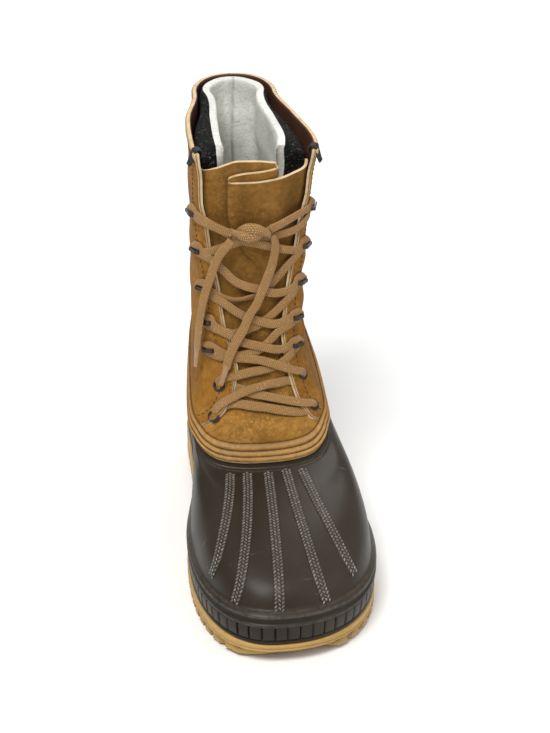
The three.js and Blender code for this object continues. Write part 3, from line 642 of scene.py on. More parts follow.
def ribbon(name, control, width=LACE_WIDTH, thickness=LACE_THICKNESS, narrow=0.0, look=LACE):
    """A flat lace along its control points, narrower at its far end by a share."""
    points, out, rest, run = ribbon_path(control)
    ahead = unit(np.gradient(points, axis=0))
    wide = unit(np.cross(out, ahead))
    thick = unit(np.cross(ahead, wide))
    roll = np.radians(rest[:, 0])[:, None]
    wide, thick = (wide * np.cos(roll) + thick * np.sin(roll),
                   thick * np.cos(roll) - wide * np.sin(roll))
    squeeze = 1 - 0.3 * np.abs(np.sin(roll))
    taper = 1 - narrow * (run / run[-1])[:, None]
    angles = circle(RIBBON_SIDES)
    across, up = rounded(np.cos(angles), 0.7), rounded(np.sin(angles), 0.6)
    wobble = 1 + 0.04 * np.sin(run / 7.3)[:, None]
    rings = (points[:, None] + wide[:, None] * (across * width * squeeze * taper * wobble)[..., None]
             + thick[:, None] * (up * thickness / squeeze * taper)[..., None])
    uv = np.stack(np.broadcast_arrays(run[:, None] / LACE_WIDTH, across[None] + 0.5), -1)
    piece = mesh_piece(name, rings, tube_faces(*rings.shape[:2]), [look], uv=uv, crease=70)
    return piece, points


# A lace's way round a hook: turn and section from the hook's own, height and roll.
HOOK_LOOP = ((-0.014, -0.075, 5.2, 15), (0.004, -0.085, 5.3, 35), (0.018, -0.056, 5.3, 55),
             (0.0235, 0.0, 5.2, 60), (0.018, 0.056, 5.3, 55), (0.004, 0.085, 5.3, 35),
             (-0.014, 0.083, 5.2, 15))


def hook_loop(row, side):
    """The lace's way round a hook, from its lower side to its upper one."""
    v, out_turn, in_turn = LACE_ROWS[row]
    turn, away = (out_turn, 1) if side == "out" else (in_turn, -1)
    return [(turn + away * du, v + dv, h, away * roll) for du, dv, h, roll in HOOK_LOOP]


# Between two lacing points the lace lies as listed: turn, section, height and roll.
STRANDS = {
    "bar": [(0.012, 7.34, 2.7, 0), (0.05, 7.2, 2.7, 0), (0.085, 7.08, 2.3, 0), (0.115, 7.0, 2.0, 0),
            (0.126, 7.0, 2.4, 0)],
    "bar back": [(0.012, 7.34, 2.7, 0), (-0.03, 7.44, 2.7, 0), (-0.06, 7.4, 2.3, 0), (-0.085, 7.22, 2.0, 0),
                 (-0.095, 7.12, 2.4, 0)],
    "0 in": [(-0.093, 7.16, 4.0, 0), (-0.084, 7.3, 5.0, -10), (-0.06, 7.5, 5.2, -6), (-0.024, 7.7, 4.7, 0),
             (0.014, 7.82, 3.6, 4), (0.045, 7.82, 2.0, 0), (0.075, 7.79, 1.0, 0), (0.105, 7.72, 1.2, 0),
             (0.122, 7.7, 2.6, 0)],
    "0 out": [(0.127, 7.04, 4.0, 0), (0.118, 7.12, 5.0, 10), (0.09, 7.25, 5.2, 6), (0.053, 7.43, 4.4, 0),
              (0.02, 7.56, 2.8, 0), (-0.004, 7.64, 1.8, 0), (-0.03, 7.74, 1.2, 0), (-0.06, 7.8, 1.0, 0),
              (-0.08, 7.8, 2.6, 0)],
    "1 out": [(0.124, 7.78, 4.2, 0), (0.112, 7.86, 5.0, 8), (0.09, 7.96, 5.2, 8), (0.058, 8.12, 4.4, 0),
              (0.02, 8.27, 3.6, 0), (-0.008, 8.34, 3.5, 0), (-0.045, 8.37, 4.4, 0), (-0.075, 8.36, 5.2, 0)],
    "1 in": [(-0.082, 7.84, 4.2, 0), (-0.07, 7.94, 4.8, -8), (-0.035, 8.03, 3.4, 0), (0, 8.1, 1.8, 0),
             (0.033, 8.14, 1.7, 0), (0.06, 8.2, 3.4, 0), (0.085, 8.3, 5.0, 0)],
    "2 in": [(-0.066, 8.42, 5.0, 0), (-0.033, 8.4, 3.6, 0), (0.0, 8.46, 2.0, 0), (0.03, 8.62, 2.0, 0),
             (0.055, 8.78, 3.8, 0), (0.085, 8.85, 5.2, 0)],
    "2 out": [(0.08, 8.46, 5.0, 0), (0.05, 8.46, 4.2, 0), (0.01, 8.56, 3.7, 0), (-0.03, 8.68, 3.6, 0),
              (-0.06, 8.8, 4.6, 0), (-0.09, 8.86, 5.3, 0)],
    "3 out": [(0.085, 8.97, 5.2, 0), (0.045, 8.93, 4.0, 0), (0.006, 9.02, 3.0, 0), (-0.03, 9.18, 3.0, 0),
              (-0.06, 9.34, 4.6, 0), (-0.095, 9.46, 5.3, 0)],
    "3 in": [(-0.087, 8.9, 5.2, 0), (-0.045, 8.8, 3.4, 0), (-0.01, 8.87, 1.9, 0), (0.03, 9.04, 1.8, 0),
             (0.065, 9.24, 4.0, 0), (0.1, 9.42, 5.3, 0)],
    "4 out": [(0.1, 9.52, 5.3, 0), (0.06, 9.48, 4.6, 0), (0.03, 9.52, 3.8, 0), (-0.004, 9.63, 3.6, 6),
              (-0.035, 9.76, 3.6, 0), (-0.06, 9.95, 4.2, 0), (-0.09, 10.12, 5.2, 0), (-0.12, 10.18, 5.4, 0)],
    "4 in": [(-0.095, 9.54, 5.3, 0), (-0.057, 9.44, 4.0, 30), (-0.02, 9.41, 2.2, 50), (0.015, 9.5, 1.8, 20),
             (0.05, 9.72, 1.9, 0), (0.085, 9.96, 3.6, 0), (0.115, 10.12, 5.3, 0)],
    "5 out": [(0.12, 10.2, 5.4, 0), (0.074, 10.26, 4.6, 0), (0.031, 10.36, 3.4, 0), (-0.005, 10.47, 3.2, 0),
              (-0.04, 10.62, 3.4, 0), (-0.08, 10.76, 4.4, 0), (-0.13, 10.84, 5.4, 0)],
    "5 in": [(-0.12, 10.24, 5.4, 0), (-0.085, 10.3, 4.6, 0), (-0.04, 10.42, 3.2, 0), (0.0, 10.5, 2.2, 0),
             (0.05, 10.55, 2.6, 0), (0.1, 10.62, 4.6, 0), (0.14, 10.76, 5.4, 0)],
    "6 out": [(0.145, 10.94, 5.4, 0), (0.11, 10.93, 4.9, 0), (0.075, 10.85, 4.4, 0), (0.045, 10.76, 4.6, 0),
              (0.03, 10.72, 4.9, 0)],
    "6 in": [(-0.14, 10.94, 5.4, 0), (-0.11, 10.87, 4.9, 0), (-0.08, 10.78, 4.4, 0), (-0.052, 10.7, 4.4, 0),
             (-0.034, 10.66, 4.6, 0)],
}
# The free ends lie where their solids do.
END_OUTER = (
    (0.033, 10.6, 6.2, 40), (0.04, 10.47, 7.3, 30), (0.04, 10.3, 7.4, 10), (0.036, 10.08, 7, 0),
    (0.028, 9.86, 6.9, 0), (0.016, 9.6, 6.9, 0), (0.006, 9.38, 6.9, 0), (-0.008, 9.12, 7, 0),
    (-0.02, 8.88, 7.2, 0), (-0.036, 8.66, 7.6, 0), (-0.05, 8.42, 7.8, 0), (-0.059, 8.18, 7.8, 0),
)
END_INNER = (
    (-0.036, 10.56, 6.6, 20), (-0.046, 10.46, 7.9, 15), (-0.06, 10.34, 8.6, 5), (-0.074, 10.14, 9.4, 0),
    (-0.086, 9.88, 10, 0), (-0.096, 9.66, 10.4, 0), (-0.106, 9.42, 10.5, 0), (-0.113, 9.18, 10.5, 0),
    (-0.119, 8.94, 10.5, 0), (-0.125, 8.66, 10.5, 0), (-0.13, 8.4, 10.5, 0),
)


def lace_route(first, side):
    """One half of the lace: its way from the middle of the bar to the knot, from side to side."""
    control = list(STRANDS[first])
    for row in range(len(LACE_ROWS)):
        if row >= EYELET_ROWS:
            control += hook_loop(row, side)
        control += STRANDS[f"{row} {side}"]
        side = "in" if side == "out" else "out"
    return control


def laces():
    outer, _ = ribbon("lace_outer_run", lace_route("bar", "out"))
    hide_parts("lace")
    ribbon("lace_inner_run", lace_route("bar back", "in"))


# The knot: its ends as turns, its section, its height off the surface at the ends and in the
# middle, how far each strand swings round the knot's line and the half widths of a strand, the
# last two sideways and outwards.
KNOT_ENDS = (-0.034, 0.03)
KNOT_V = 10.66
KNOT_HEIGHTS = (4.9, 6.3)
KNOT_SWING = (2.9, 1.4)
KNOT_STRAND = (3.4, 1.8)
KNOT_RINGS = 60
KNOT_SIDES = 12


def knot():
    """Two strands that turn round each other."""
    share = np.linspace(0, 1, KNOT_RINGS)
    arch = np.sin(share * math.pi)
    turn = mix(*KNOT_ENDS, share)
    v = KNOT_V + 0.03 * arch
    middle = at(turn, v, mix(*KNOT_HEIGHTS, arch))
    out = normal(turn, v)
    side = unit(np.cross(out, unit(np.gradient(middle, axis=0))))
    angles = circle(KNOT_SIDES)
    swell = 1 - 0.25 * np.cos(share * 2 * math.pi)[:, None, None]
    section = (side[:, None] * (np.cos(angles) * KNOT_STRAND[0])[None, :, None]
               + out[:, None] * (np.sin(angles) * KNOT_STRAND[1])[None, :, None]) * swell
    strands, faces = [], []
    for k in range(2):
        twist = (math.pi * (k + share * 1.5) + 0.6)[:, None]
        axis = middle + side * np.cos(twist) * KNOT_SWING[0] + out * np.sin(twist) * KNOT_SWING[1]
        strands.append(axis[:, None] + section)
        faces += tube_faces(KNOT_RINGS, KNOT_SIDES, base=k * KNOT_RINGS * KNOT_SIDES)
    uv = np.stack(np.broadcast_arrays(share[:, None] * 5, angles / math.pi % 1), -1)
    piece = mesh_piece("lace_knot_wrap", np.stack(strands), faces, [LACE],
                       uv=np.stack([uv, uv]), crease=70)
    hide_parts("lace_knot")
    return piece


TIP_WIDTH = 4.2
TIP_THICKNESS = 2.3
TIP_PLACES = (-1.5, 4, 9, 14)


def lace_tip(name, control, node):
    """The stiff tip beyond the last point of a free end."""
    before, tip = (np.array(p) for p in control[-2:])
    run = np.linalg.norm(at(*tip[:3]) - at(*before[:3]))
    step = (tip - before) / run
    path = [tuple(tip + step * place) for place in TIP_PLACES]
    piece, _ = ribbon(name, path, TIP_WIDTH, TIP_THICKNESS, narrow=0.25, look=AGLET)
    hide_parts(node)
    return piece


def free_end(name, control, node, tip_node):
    """A free end from the knot down, with its tip, as a cord."""
    piece, points = ribbon(name, control)
    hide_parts(node)
    tip = lace_tip(name.replace("lace_end", "lace_tip"), control, tip_node)


camera()
KNOT = knot()
free_end("lace_end_of_outer_run", END_OUTER, "lace_end_outer", "aglet_outer")
free_end("lace_end_of_inner_run", END_INNER, "lace_end_inner", "aglet_inner")
laces()


# The gum outsole.
def plan_ring(turns, grow, height):
    out = normal(turns, 0)
    out[..., 2] = 0
    ring = surface(turns, 0) + unit(out) * np.asarray(grow, float)[..., None]
    ring[..., 2] = height
    return ring


def cap(base, size, flip):
    """Faces across a ring, from one of its sides to the other."""
    faces = []
    for i in range(size // 2):
        a, b = base + i, base + i + 1
        c, d = base + size - i - 1, base + (size - i) % size
        face = [a, b, c] if i == 0 else [a, b, d] if i == size // 2 - 1 else [a, b, c, d]
        faces.append(face if flip else face[::-1])
    return faces


LUG_PITCH = 11
LUG_WIDTH = 6.9
LUG_DEPTH = 4
LUG_LEAST_SPAN = 14
LUG_END_GAP = 4
LUG_STEPS = 40
# Each edge of a lug from its root to the floor: share of its half width, height, painted shade.
LUG_PROFILE = ((1.25, LUG_DEPTH + 0.6, 0.8), (1.12, 2.2, 0.35), (0.98, 0.5, 0.05), (0.86, 0.0, 0.0))

# The sole's edge: how far each ring stands out, its height over the lugs' roots, its painted shade.
# The upper rings have their depth under the sole's top instead.
SOLE_RINGS = 240
SOLE_LOW = ((-5, 0.2, 0.8), (-1.4, 0, 0.8), (-0.5, 0.25, 0), (0, 0.9, 0), (0, 1.6, 0),
            (-0.5, 2.1, 0.45), (-0.1, 2.7, 0))
SOLE_HIGH = ((0, 1.6, 0), (0.1, 0.9, 0), (-0.2, 0.3, 0), (-0.9, 0, 0), (-6, 0, 0))


def outsole():
    turns = np.arange(SOLE_RINGS) / SOLE_RINGS
    edge = plan_ring(turns, OUTSOLE_PROUD, 0)
    low = sole_lift(edge[:, 1]) + LUG_DEPTH
    top = sole_top(edge[:, 1]) - 0.5
    rows = [plan_ring(turns, OUTSOLE_PROUD + grow, low + rise) for grow, rise, _ in SOLE_LOW]
    rows += [plan_ring(turns, OUTSOLE_PROUD + grow, top - drop) for grow, drop, _ in SOLE_HIGH]
    faces = quads(len(rows), SOLE_RINGS, wrap=True).tolist()
    faces += cap(0, SOLE_RINGS, True) + cap((len(rows) - 1) * SOLE_RINGS, SOLE_RINGS, False)
    points = [np.concatenate(rows)]
    deeps = [np.repeat([shade for _, _, shade in SOLE_LOW + SOLE_HIGH], SOLE_RINGS)]
    half_ring = SOLE_RINGS // 2
    sides = [side[np.argsort(side[:, 1])] for side in (edge[:half_ring + 1], edge[half_ring:][::-1])]
    bars = int(SOLE_LENGTH // LUG_PITCH) + 1
    for i in range(bars):
        centre = (i - (bars - 1) / 2) * LUG_PITCH
        if wide_enough(centre, *sides):
            faces += tube_faces(LUG_STEPS, 2 * len(LUG_PROFILE), base=sum(len(p) for p in points))
            points.append(lug_bar(centre, *sides))
            shades = [shade for *_, shade in LUG_PROFILE + LUG_PROFILE[::-1]]
            deeps.append(np.tile(shades, LUG_STEPS))
    piece = mesh_piece("gum_outsole", np.concatenate(points), faces, [GUM],
                       fields={"deep": np.concatenate(deeps)}, crease=45)
    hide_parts("outsole")


def wave(x):
    return -3 * np.cos(math.pi * (x + 80) / 32)


def edge_x(side, y):
    return np.interp(y, side[:, 1], side[:, 0])


def lug_bar(centre, outer_side, inner_side):
    """One wavy lug from side to side, its ends cut to the outsole's outline."""
    lines = []
    for half, profile in ((LUG_WIDTH / 2, LUG_PROFILE), (-LUG_WIDTH / 2, LUG_PROFILE[::-1])):
        ends = []
        for side in (inner_side, outer_side):
            x = edge_x(side, centre)
            for _ in range(6):
                y = np.clip(centre + half + wave(x), side[0, 1] + 1, side[-1, 1] - 1)
                x = mix(x, edge_x(side, y), 0.7)
            ends.append(x)
        x = mix(ends[0] + 0.3, ends[1] - 0.3, np.linspace(0, 1, LUG_STEPS))
        y = centre + wave(x)
        lines += [np.stack([x, y + half * share, sole_lift(y) + rise], -1)
                  for share, rise, _ in profile]
    return np.stack(lines, 1).reshape(-1, 3)


def wide_enough(centre, outer_side, inner_side):
    low = max(outer_side[0, 1], inner_side[0, 1]) + LUG_END_GAP
    high = min(outer_side[-1, 1], inner_side[-1, 1]) - LUG_END_GAP
    span = edge_x(outer_side, centre) - edge_x(inner_side, centre)
    return low < centre < high and span > LUG_LEAST_SPAN


# The rubber shell.
TOE_GATHER = 0.55


def dense_turns(count):
    """Turns round the shell, closer together at the toe."""
    share = np.arange(count) / count
    return share - TOE_GATHER / (2 * math.pi) * np.sin(2 * math.pi * share)


# The bumper: heights of its features over the feather line, and the rubber's upper rim: distances
# of its two beads from the edge.
RIB_PITCH = 7.8
LIP_AT = 1.7
GROOVE_AT = 3.3
RIBS_FROM = 3.6
RIBS_TO = 13.2
EDGE_AT = 14
CHANNEL = (14.6, 18.4)
RIDGE_AT = 19.3
LINE_AT = 21.8
RIM_BEADS = (4, 7)


def bumper_offset(rise, around):
    """How far the bumper stands out, by the height up it and the distance round from the toe, and how dark
    the painted shade in its rib gaps is.
    """
    lip = 0.9 * bump(rise, LIP_AT, 1.3)
    on_ribs = smooth(RIBS_FROM, RIBS_FROM + 0.7, rise) * (1 - smooth(RIBS_TO - 0.7, RIBS_TO, rise))
    phase = (around / RIB_PITCH + 0.5) % 1
    gap = 1 - smooth(0.03, 0.1, np.minimum(phase, 1 - phase))
    strength = mix(0.5, 1, 1 - smooth(62, 92, np.abs(around))) * (1 - smooth(190, 250, np.abs(around)))
    ribs = strength * on_ribs * (0.5 - 1.2 * gap)
    edge = 0.5 * bump(rise, EDGE_AT, 0.7)
    low, high = CHANNEL
    channel = -0.9 * smooth(low, low + 1, rise) * (1 - smooth(high - 1, high, rise))
    ridge = 0.6 * bump(rise, RIDGE_AT, 0.75) + 0.35 * bump(rise, LINE_AT, 0.6)
    body = BUMPER_PROUD * (1 - smooth(19.8, 23.4, rise))
    groove = -0.7 * bump(rise, GROOVE_AT, 0.35)
    return body + lip + ribs + edge + channel + ridge + groove, 0.7 * strength * on_ribs * gap


# Rows of the shell: heights over the feather line, distances under its upper edge, and those of
# the rows tucked in above that edge.
SHELL_COLUMNS = 460
SHELL_RISES = np.array([
    0, 0.5, 1.1, 1.7, 2.3, 2.9, 3.3, 3.7, 4.2, 5, 7, 9.5, 12, 12.6, 13.2, 13.6, 14, 14.5, 15, 15.6,
    16.5, 17.4, 18, 18.6, 19.3, 20, 20.8, 21.8, 22.6, 23.6, 25])
SHELL_DROPS = np.array([12, 10, 8.2, 7.6, 7, 6.4, 5.4, 4.6, 4, 3.4, 2.2, 1, 0])
SHELL_TUCKED = np.array([4, 9])
# How far its last rows sink under the leather.
SHELL_SINKS = np.array([[0.3], [0.6], [0.6]])


def round_from_toe(turns):
    """Lengths round the shell from the toe, the inner side's below zero."""
    step = np.linalg.norm(np.diff(surface(np.append(turns, 1), 0.8), axis=0), axis=1)
    around = np.concatenate([[0], np.cumsum(step)])
    return np.minimum(around[:-1], around[-1] - around[:-1]) * np.where(turns < 0.5, 1, -1)


def shell_grid(turns):
    """Sections, heights over the feather line and distances under the upper edge."""
    low = climb(turns, 0, SHELL_RISES[-1])
    top = top_line(turns)
    near_top = climb(turns, top, -SHELL_DROPS[0])
    body = mix(low, near_top, np.linspace(0, 1, 34)[1:-1, None])
    v = np.concatenate([
        climb(turns[None], 0, SHELL_RISES[:, None]), body,
        climb(turns[None], top[None], -SHELL_DROPS[:, None]),
        climb(turns[None], top[None], SHELL_TUCKED[:, None])])
    rise, down = np.full((2, *v.shape), FAR)
    rise[:len(SHELL_RISES)] = SHELL_RISES[:, None]
    down[len(SHELL_RISES) + len(body):-len(SHELL_TUCKED)] = SHELL_DROPS[:, None]
    return v, rise, down


def shell_fields(rise, down, gap, inside_rows):
    """Where the rubber is rubbed, and where painted shade darkens its rib gaps, groove, channel and foot."""
    worn = (0.5 * bump(rise, RIDGE_AT, 0.8) + 0.35 * bump(rise, EDGE_AT, 0.7)
            + 0.3 * bump(rise, LINE_AT, 0.6) + 0.4 * bump(down, RIM_BEADS[0], 0.5)
            + 0.3 * bump(down, RIM_BEADS[1], 0.6))
    # Painted shade in the rib gaps, the groove under the lip, the channel and at the foot.
    deep = (gap + 0.8 * bump(rise, GROOVE_AT, 0.4) + 0.5 * bump(rise, sum(CHANNEL) / 2, 1.2)
            + 0.6 * bump(rise, 0, 0.7))
    inside = np.zeros((inside_rows, rise.shape[1]))
    return {"worn": np.concatenate([worn, inside]),
            "deep": np.concatenate([np.clip(deep, 0, 0.95), inside])}


def closed_faces(rows, cols):
    """Faces of rings one after another, the last one joined to the first."""
    close = quads(2, cols, wrap=True)
    close = np.where(close >= cols, close - cols, close + (rows - 1) * cols)
    return np.concatenate([quads(rows, cols, wrap=True), close])


def shell():
    turns = dense_turns(SHELL_COLUMNS)
    v, rise, down = shell_grid(turns)
    grid_turns = np.broadcast_to(turns, v.shape)
    bumper, gap = bumper_offset(rise, np.broadcast_to(round_from_toe(turns), v.shape))
    beads = 0.5 * bump(down, RIM_BEADS[0], 0.5) + 0.4 * bump(down, RIM_BEADS[1], 0.6)
    offset = np.where(rise < FAR, bumper, 0) + beads
    offset[-len(SHELL_SINKS):] -= SHELL_SINKS
    offset += rubber_folds(grid_turns, v)
    outer = at(grid_turns, v, offset)
    outer[0, :, 2] = sole_top(outer[0, :, 1]) - 0.2
    inner_v = mix(v[-1], climb(turns, 0, 1.5), np.linspace(0, 1, 7)[:, None])
    inner = at(np.broadcast_to(turns, inner_v.shape), inner_v, np.full(inner_v.shape, -SHELL_WALL))
    inner[-1, :, 2] = sole_top(inner[-1, :, 1])
    loop = np.concatenate([outer, inner])
    piece = mesh_piece("rubber_shell", loop, closed_faces(len(loop), SHELL_COLUMNS), [RUBBER],
                       fields=shell_fields(rise, down, gap, len(inner)), crease=60)
    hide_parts("shell")


# Soft spots: turn, section, width round, width up and strength.
RUBBER_FOLDS = (
    (0.13, 4.9, 0.035, 0.35, 0.5), (-0.135, 4.8, 0.03, 0.35, 0.5), (0.2, 5.2, 0.03, 0.5, 0.7),
    (-0.2, 5.2, 0.03, 0.5, 0.7), (0.33, 4.2, 0.05, 0.8, 0.6), (-0.33, 4.2, 0.05, 0.8, 0.6),
)
# Of these spots, the one right of the tongue's top is painted shade.
SOIL_AND_SHADE_SPOTS = (
    (0.005, 6.5, 0.03, 0.28, 0.45), (-0.06, 6.6, 0.02, 0.25, 0.2), (0.0, 9.3, 0.03, 1.0, 0.25),
    (0.09, 11.2, 0.045, 0.9, 0.4), (-0.01, 11.3, 0.012, 0.9, 0.25), (0.2, 7.6, 0.05, 0.4, 0.3),
    (-0.2, 7.6, 0.05, 0.4, 0.3), (0.34, 8.6, 0.06, 0.6, 0.3), (-0.36, 8.8, 0.06, 0.6, 0.3),
    (0.25, 10.7, 0.05, 0.5, 0.2), (-0.3, 11.2, 0.07, 0.4, 0.2),
)


def soft_spots(spots, turn, v):
    t = (turn + 0.5) % 1 - 0.5
    return sum(strength * bump(t, across, wide) * bump(v, level, tall)
               for across, level, wide, tall, strength in spots)


def rubber_folds(turn, v):
    """Shallow dents where the rubber flexes at the ball and sags beside the heel."""
    return -soft_spots(RUBBER_FOLDS, turn, v)


# The raised bands on the vamp: upper and lower ends, as section and turn.
BANDS = (
    ((5.58, -0.06), (2.45, -0.121)), ((5.65, -0.026), (2.1, -0.07)), ((5.65, 0.001), (2.06, -0.001)),
    ((5.68, 0.024), (2.1, 0.048)), ((5.6, 0.053), (2.55, 0.097)),
)
BAND_WIDTH = 7.2
BAND_STEPS = 70
# Across a band: share of its width from the middle, and height.
BAND_PROFILE = ((-0.5, -1), (-0.5, 0.1), (-0.44, 0.5), (-0.3, 0.72), (0, 0.8), (0.3, 0.72),
                (0.44, 0.5), (0.5, 0.1), (0.5, -1))

# A stud: its points as shares of its length, width and height, and its faces. Three columns of
# them lean to and fro along a band.
STUD_PITCH = 2.5
STUD_SIZE = (1.5, 1.35, 0.6)
STUD_LEAN = 38
STUD_FOOT = 0.62
STUD_COLUMNS = ((-0.31, 1), (0, -1), (0.31, 1))
STUD_SHAPE = np.array([
    (-1, 0, 0), (-0.3, -0.5, 0), (0.3, -0.5, 0), (1, 0, 0), (0.3, 0.5, 0), (-0.3, 0.5, 0),
    (-0.35, 0, 1), (0.35, 0, 1)])
STUD_FACES = ((0, 1, 6), (1, 2, 7, 6), (2, 3, 7), (3, 4, 7), (4, 5, 6, 7), (5, 0, 6))


def band_lines(top, foot):
    share = np.linspace(0, 1, BAND_STEPS)
    v = mix(foot[0], top[0], share)
    turn = mix(foot[1], top[1], share)
    points = surface(turn, v)
    out = normal(turn, v)
    ahead = unit(np.gradient(points, axis=0))
    return points, out, ahead, unit(np.cross(ahead, out))


def band_studs(points, out, ahead, side):
    dense, _ = resample(np.concatenate([points, out, ahead, side], 1), STUD_PITCH)
    long, wide, tall = STUD_SIZE
    studs = []
    for row in dense:
        p, n, a, s = row.reshape(4, 3)
        for column, lean in STUD_COLUMNS:
            shift = 0.5 * (column == 0)
            angle = math.radians(STUD_LEAN * lean)
            axes = np.array([
                (a * math.cos(angle) + s * math.sin(angle)) * long,
                (s * math.cos(angle) - a * math.sin(angle)) * wide, n * tall])
            centre = p + s * column * BAND_WIDTH + a * shift * STUD_PITCH + n * STUD_FOOT
            studs.append(centre + STUD_SHAPE @ axes)
    return studs


def vamp_bands():
    strips, studs, faces = [], [], []
    ends = np.minimum(np.arange(BAND_STEPS), np.arange(BAND_STEPS)[::-1])
    ends = np.minimum(1, ends / 6 + 0.5)[:, None, None]
    for top, foot in BANDS:
        points, out, ahead, side = band_lines(top, foot)
        rise = np.stack([side * across * BAND_WIDTH + out * height
                         for across, height in BAND_PROFILE], 1)
        faces += quads(*rise.shape[:2], base=sum(len(s) for s in strips)).tolist()
        strips.append((points[:, None] + rise * ends).reshape(-1, 3))
        studs += band_studs(points, out, ahead, side)
    size = len(STUD_SHAPE)
    stud_faces = [[k * size + q for q in face] for k in range(len(studs)) for face in STUD_FACES]
    strips = np.concatenate(strips)
    fields = {"worn": np.full(len(strips), 0.12), "deep": np.zeros(len(strips))}
    mesh_piece("vamp_bands", strips, faces, [RUBBER], fields=fields)
    # The studs take the pale material that is partly dust, partly painted glint.
    mesh_piece("vamp_band_studs", np.concatenate(studs), stud_faces, [DUST_AND_PAINTED_GLINT], crease=25)


# The suede upper.
# Rows of the upper's lower part, as distances from its lower edge.
LOW_ROWS = np.array([
    0, 0.4, 1.0, 2.0, 2.9, 3.5, 3.9, 4.3, 5.0, 6.4, 7.8, 8.5, 8.9, 9.3, 10.2, 11.8, 13.6, 14.4, 14.8,
    15.2, 16.2, 17.5])
WELT_EDGES = (0, *WELT_LINES)
WELT_PUFF = 1.25
WELT_CREST_PALING = 0.5


def welt_puff(down):
    """The puffed welts between the stitched lines, by the distance from the lower edge."""
    puff = np.zeros_like(down)
    for low, high in zip(WELT_EDGES, WELT_EDGES[1:]):
        share = np.clip((down - low) / (high - low), 0, 1)
        inside = (down >= low) & (down <= high)
        puff += np.where(inside, np.sqrt(np.clip(np.sin(share * math.pi), 0, 1)), 0)
    return WELT_PUFF * puff


def welt_crests(down):
    """The paler tops of the puffed welts."""
    crests = sum(bump(down, (low + high) / 2, (high - low) / 3.4)
                 for low, high in zip(WELT_EDGES, WELT_EDGES[1:]))
    return WELT_CREST_PALING * np.clip(crests, 0, 1)


def soil_and_painted_shade(turn, v):
    """Darker places: where the laces rub, on the bib and above the rubber at the sides, with painted shade
    right of the tongue's top.
    """
    return soft_spots(SOIL_AND_SHADE_SPOTS, turn, v)


# Where the welts dip to their stitched lines; the suede is darkened there as painted shade.
def stitched_lines(down):
    return np.clip(sum(bump(down, line, 0.42) for line in WELT_LINES), 0, 1)


# Creases of the shaft: turn, section, slope, length round, width up, depth.
CREASES = (
    (0.21, 8.15, 1.2, 0.06, 0.16, 1.5), (0.235, 8.75, 0.8, 0.07, 0.2, 1.7),
    (0.2, 9.5, -0.9, 0.05, 0.22, 1.1), (0.3, 9.1, -1.4, 0.06, 0.2, 1.1),
    (0.27, 10.3, 1.1, 0.06, 0.28, 0.9), (-0.21, 8.2, -1.2, 0.06, 0.16, 1.5),
    (-0.24, 8.85, -0.8, 0.07, 0.2, 1.6), (-0.2, 9.7, 0.9, 0.05, 0.22, 1.1),
    (-0.31, 9.2, 1.2, 0.06, 0.2, 1.1), (-0.28, 10.4, -1, 0.06, 0.28, 0.9),
    (0.42, 9.0, 0.5, 0.07, 0.22, 1.3), (-0.43, 8.8, -0.5, 0.07, 0.2, 1.2),
    (0.5, 9.7, 0, 0.06, 0.25, 0.9), (0.38, 10.6, 0.7, 0.06, 0.3, 0.7),
    (-0.38, 10.8, -0.7, 0.06, 0.3, 0.7),
)
CREASE_STRENGTH = 1.6


def creases(turn, v):
    """Soft troughs, each with a ridge above it."""
    t = (turn + 0.5) % 1 - 0.5
    height = np.zeros(np.broadcast(t, v).shape)
    for centre, level, slope, long, wide, depth in CREASES:
        away = (t - centre + 0.5) % 1 - 0.5
        rise = v - level - slope * away
        fade = np.exp(-((away / long) ** 2))
        form = 0.7 * bump(rise, wide * 1.5, wide) - bump(rise, 0, wide)
        height += CREASE_STRENGTH * depth * fade * form
    return height


def flare(v):
    """The shaft opens a little at its collar."""
    return 0.8 * smooth(11.2, COLLAR, v)


def quarter_offsets(turn, v, down, beside, size):
    """Offsets of a quarter's outside and inside at its grid points."""
    puff = welt_puff(down) * (1 - smooth(15, 19, down))
    lift = (0.7 + 0.5 * np.sin(v * 6.3)) * (1 - smooth(0, 9, beside)) * smooth(14, 24, down)
    move = creases(turn, v) * smooth(12, 26, down) * smooth(0, 12, beside) + lift + flare(v)
    eyestay = 0.35 * bump(beside, 11.5, 0.8) * smooth(16, 20, down)
    binding = 0.9 * (1 - smooth(3.5, 5, size - down))
    outer = QUARTER[1] + puff - eyestay + binding
    from_edge = np.minimum(np.minimum(beside, down), size - down)
    half = (outer - QUARTER[0]) / 2 * softness(from_edge, 1.3)
    tucked = 2.3 * (1 - smooth(0, 15, beside)) * (1 - smooth(12, 19, down))
    middle = (outer + QUARTER[0]) / 2 + move - tucked
    return middle + half, middle - half


def collar_line(turn):
    """The collar's edge, which climbs a little towards the throat."""
    beside = np.minimum(turn % 1, 1 - turn % 1)
    return COLLAR + COLLAR_RISE * (1 - smooth(0.13, 0.4, beside))


SLANT_REACH = 1.9
SLANT_FADE = 4.5


def slant_edges(outer, beside):
    """Draws the outside back from both throat edges, so that the cut shows from in front."""
    moved = outer.copy()
    half = outer.shape[1] // 2
    inward = (unit(outer[:, 6] - outer[:, 0]), unit(outer[:, -7] - outer[:, -1]))
    share = (1 - np.clip(beside / SLANT_FADE, 0, 1))[..., None] * SLANT_REACH
    moved[:, :half] += inward[0][:, None] * share[:, :half]
    moved[:, half:] += inward[1][:, None] * share[:, half:]
    return moved


LOW_COUNT = len(LOW_ROWS)
LOW_END = 6.05
SLANT_FROM = 16


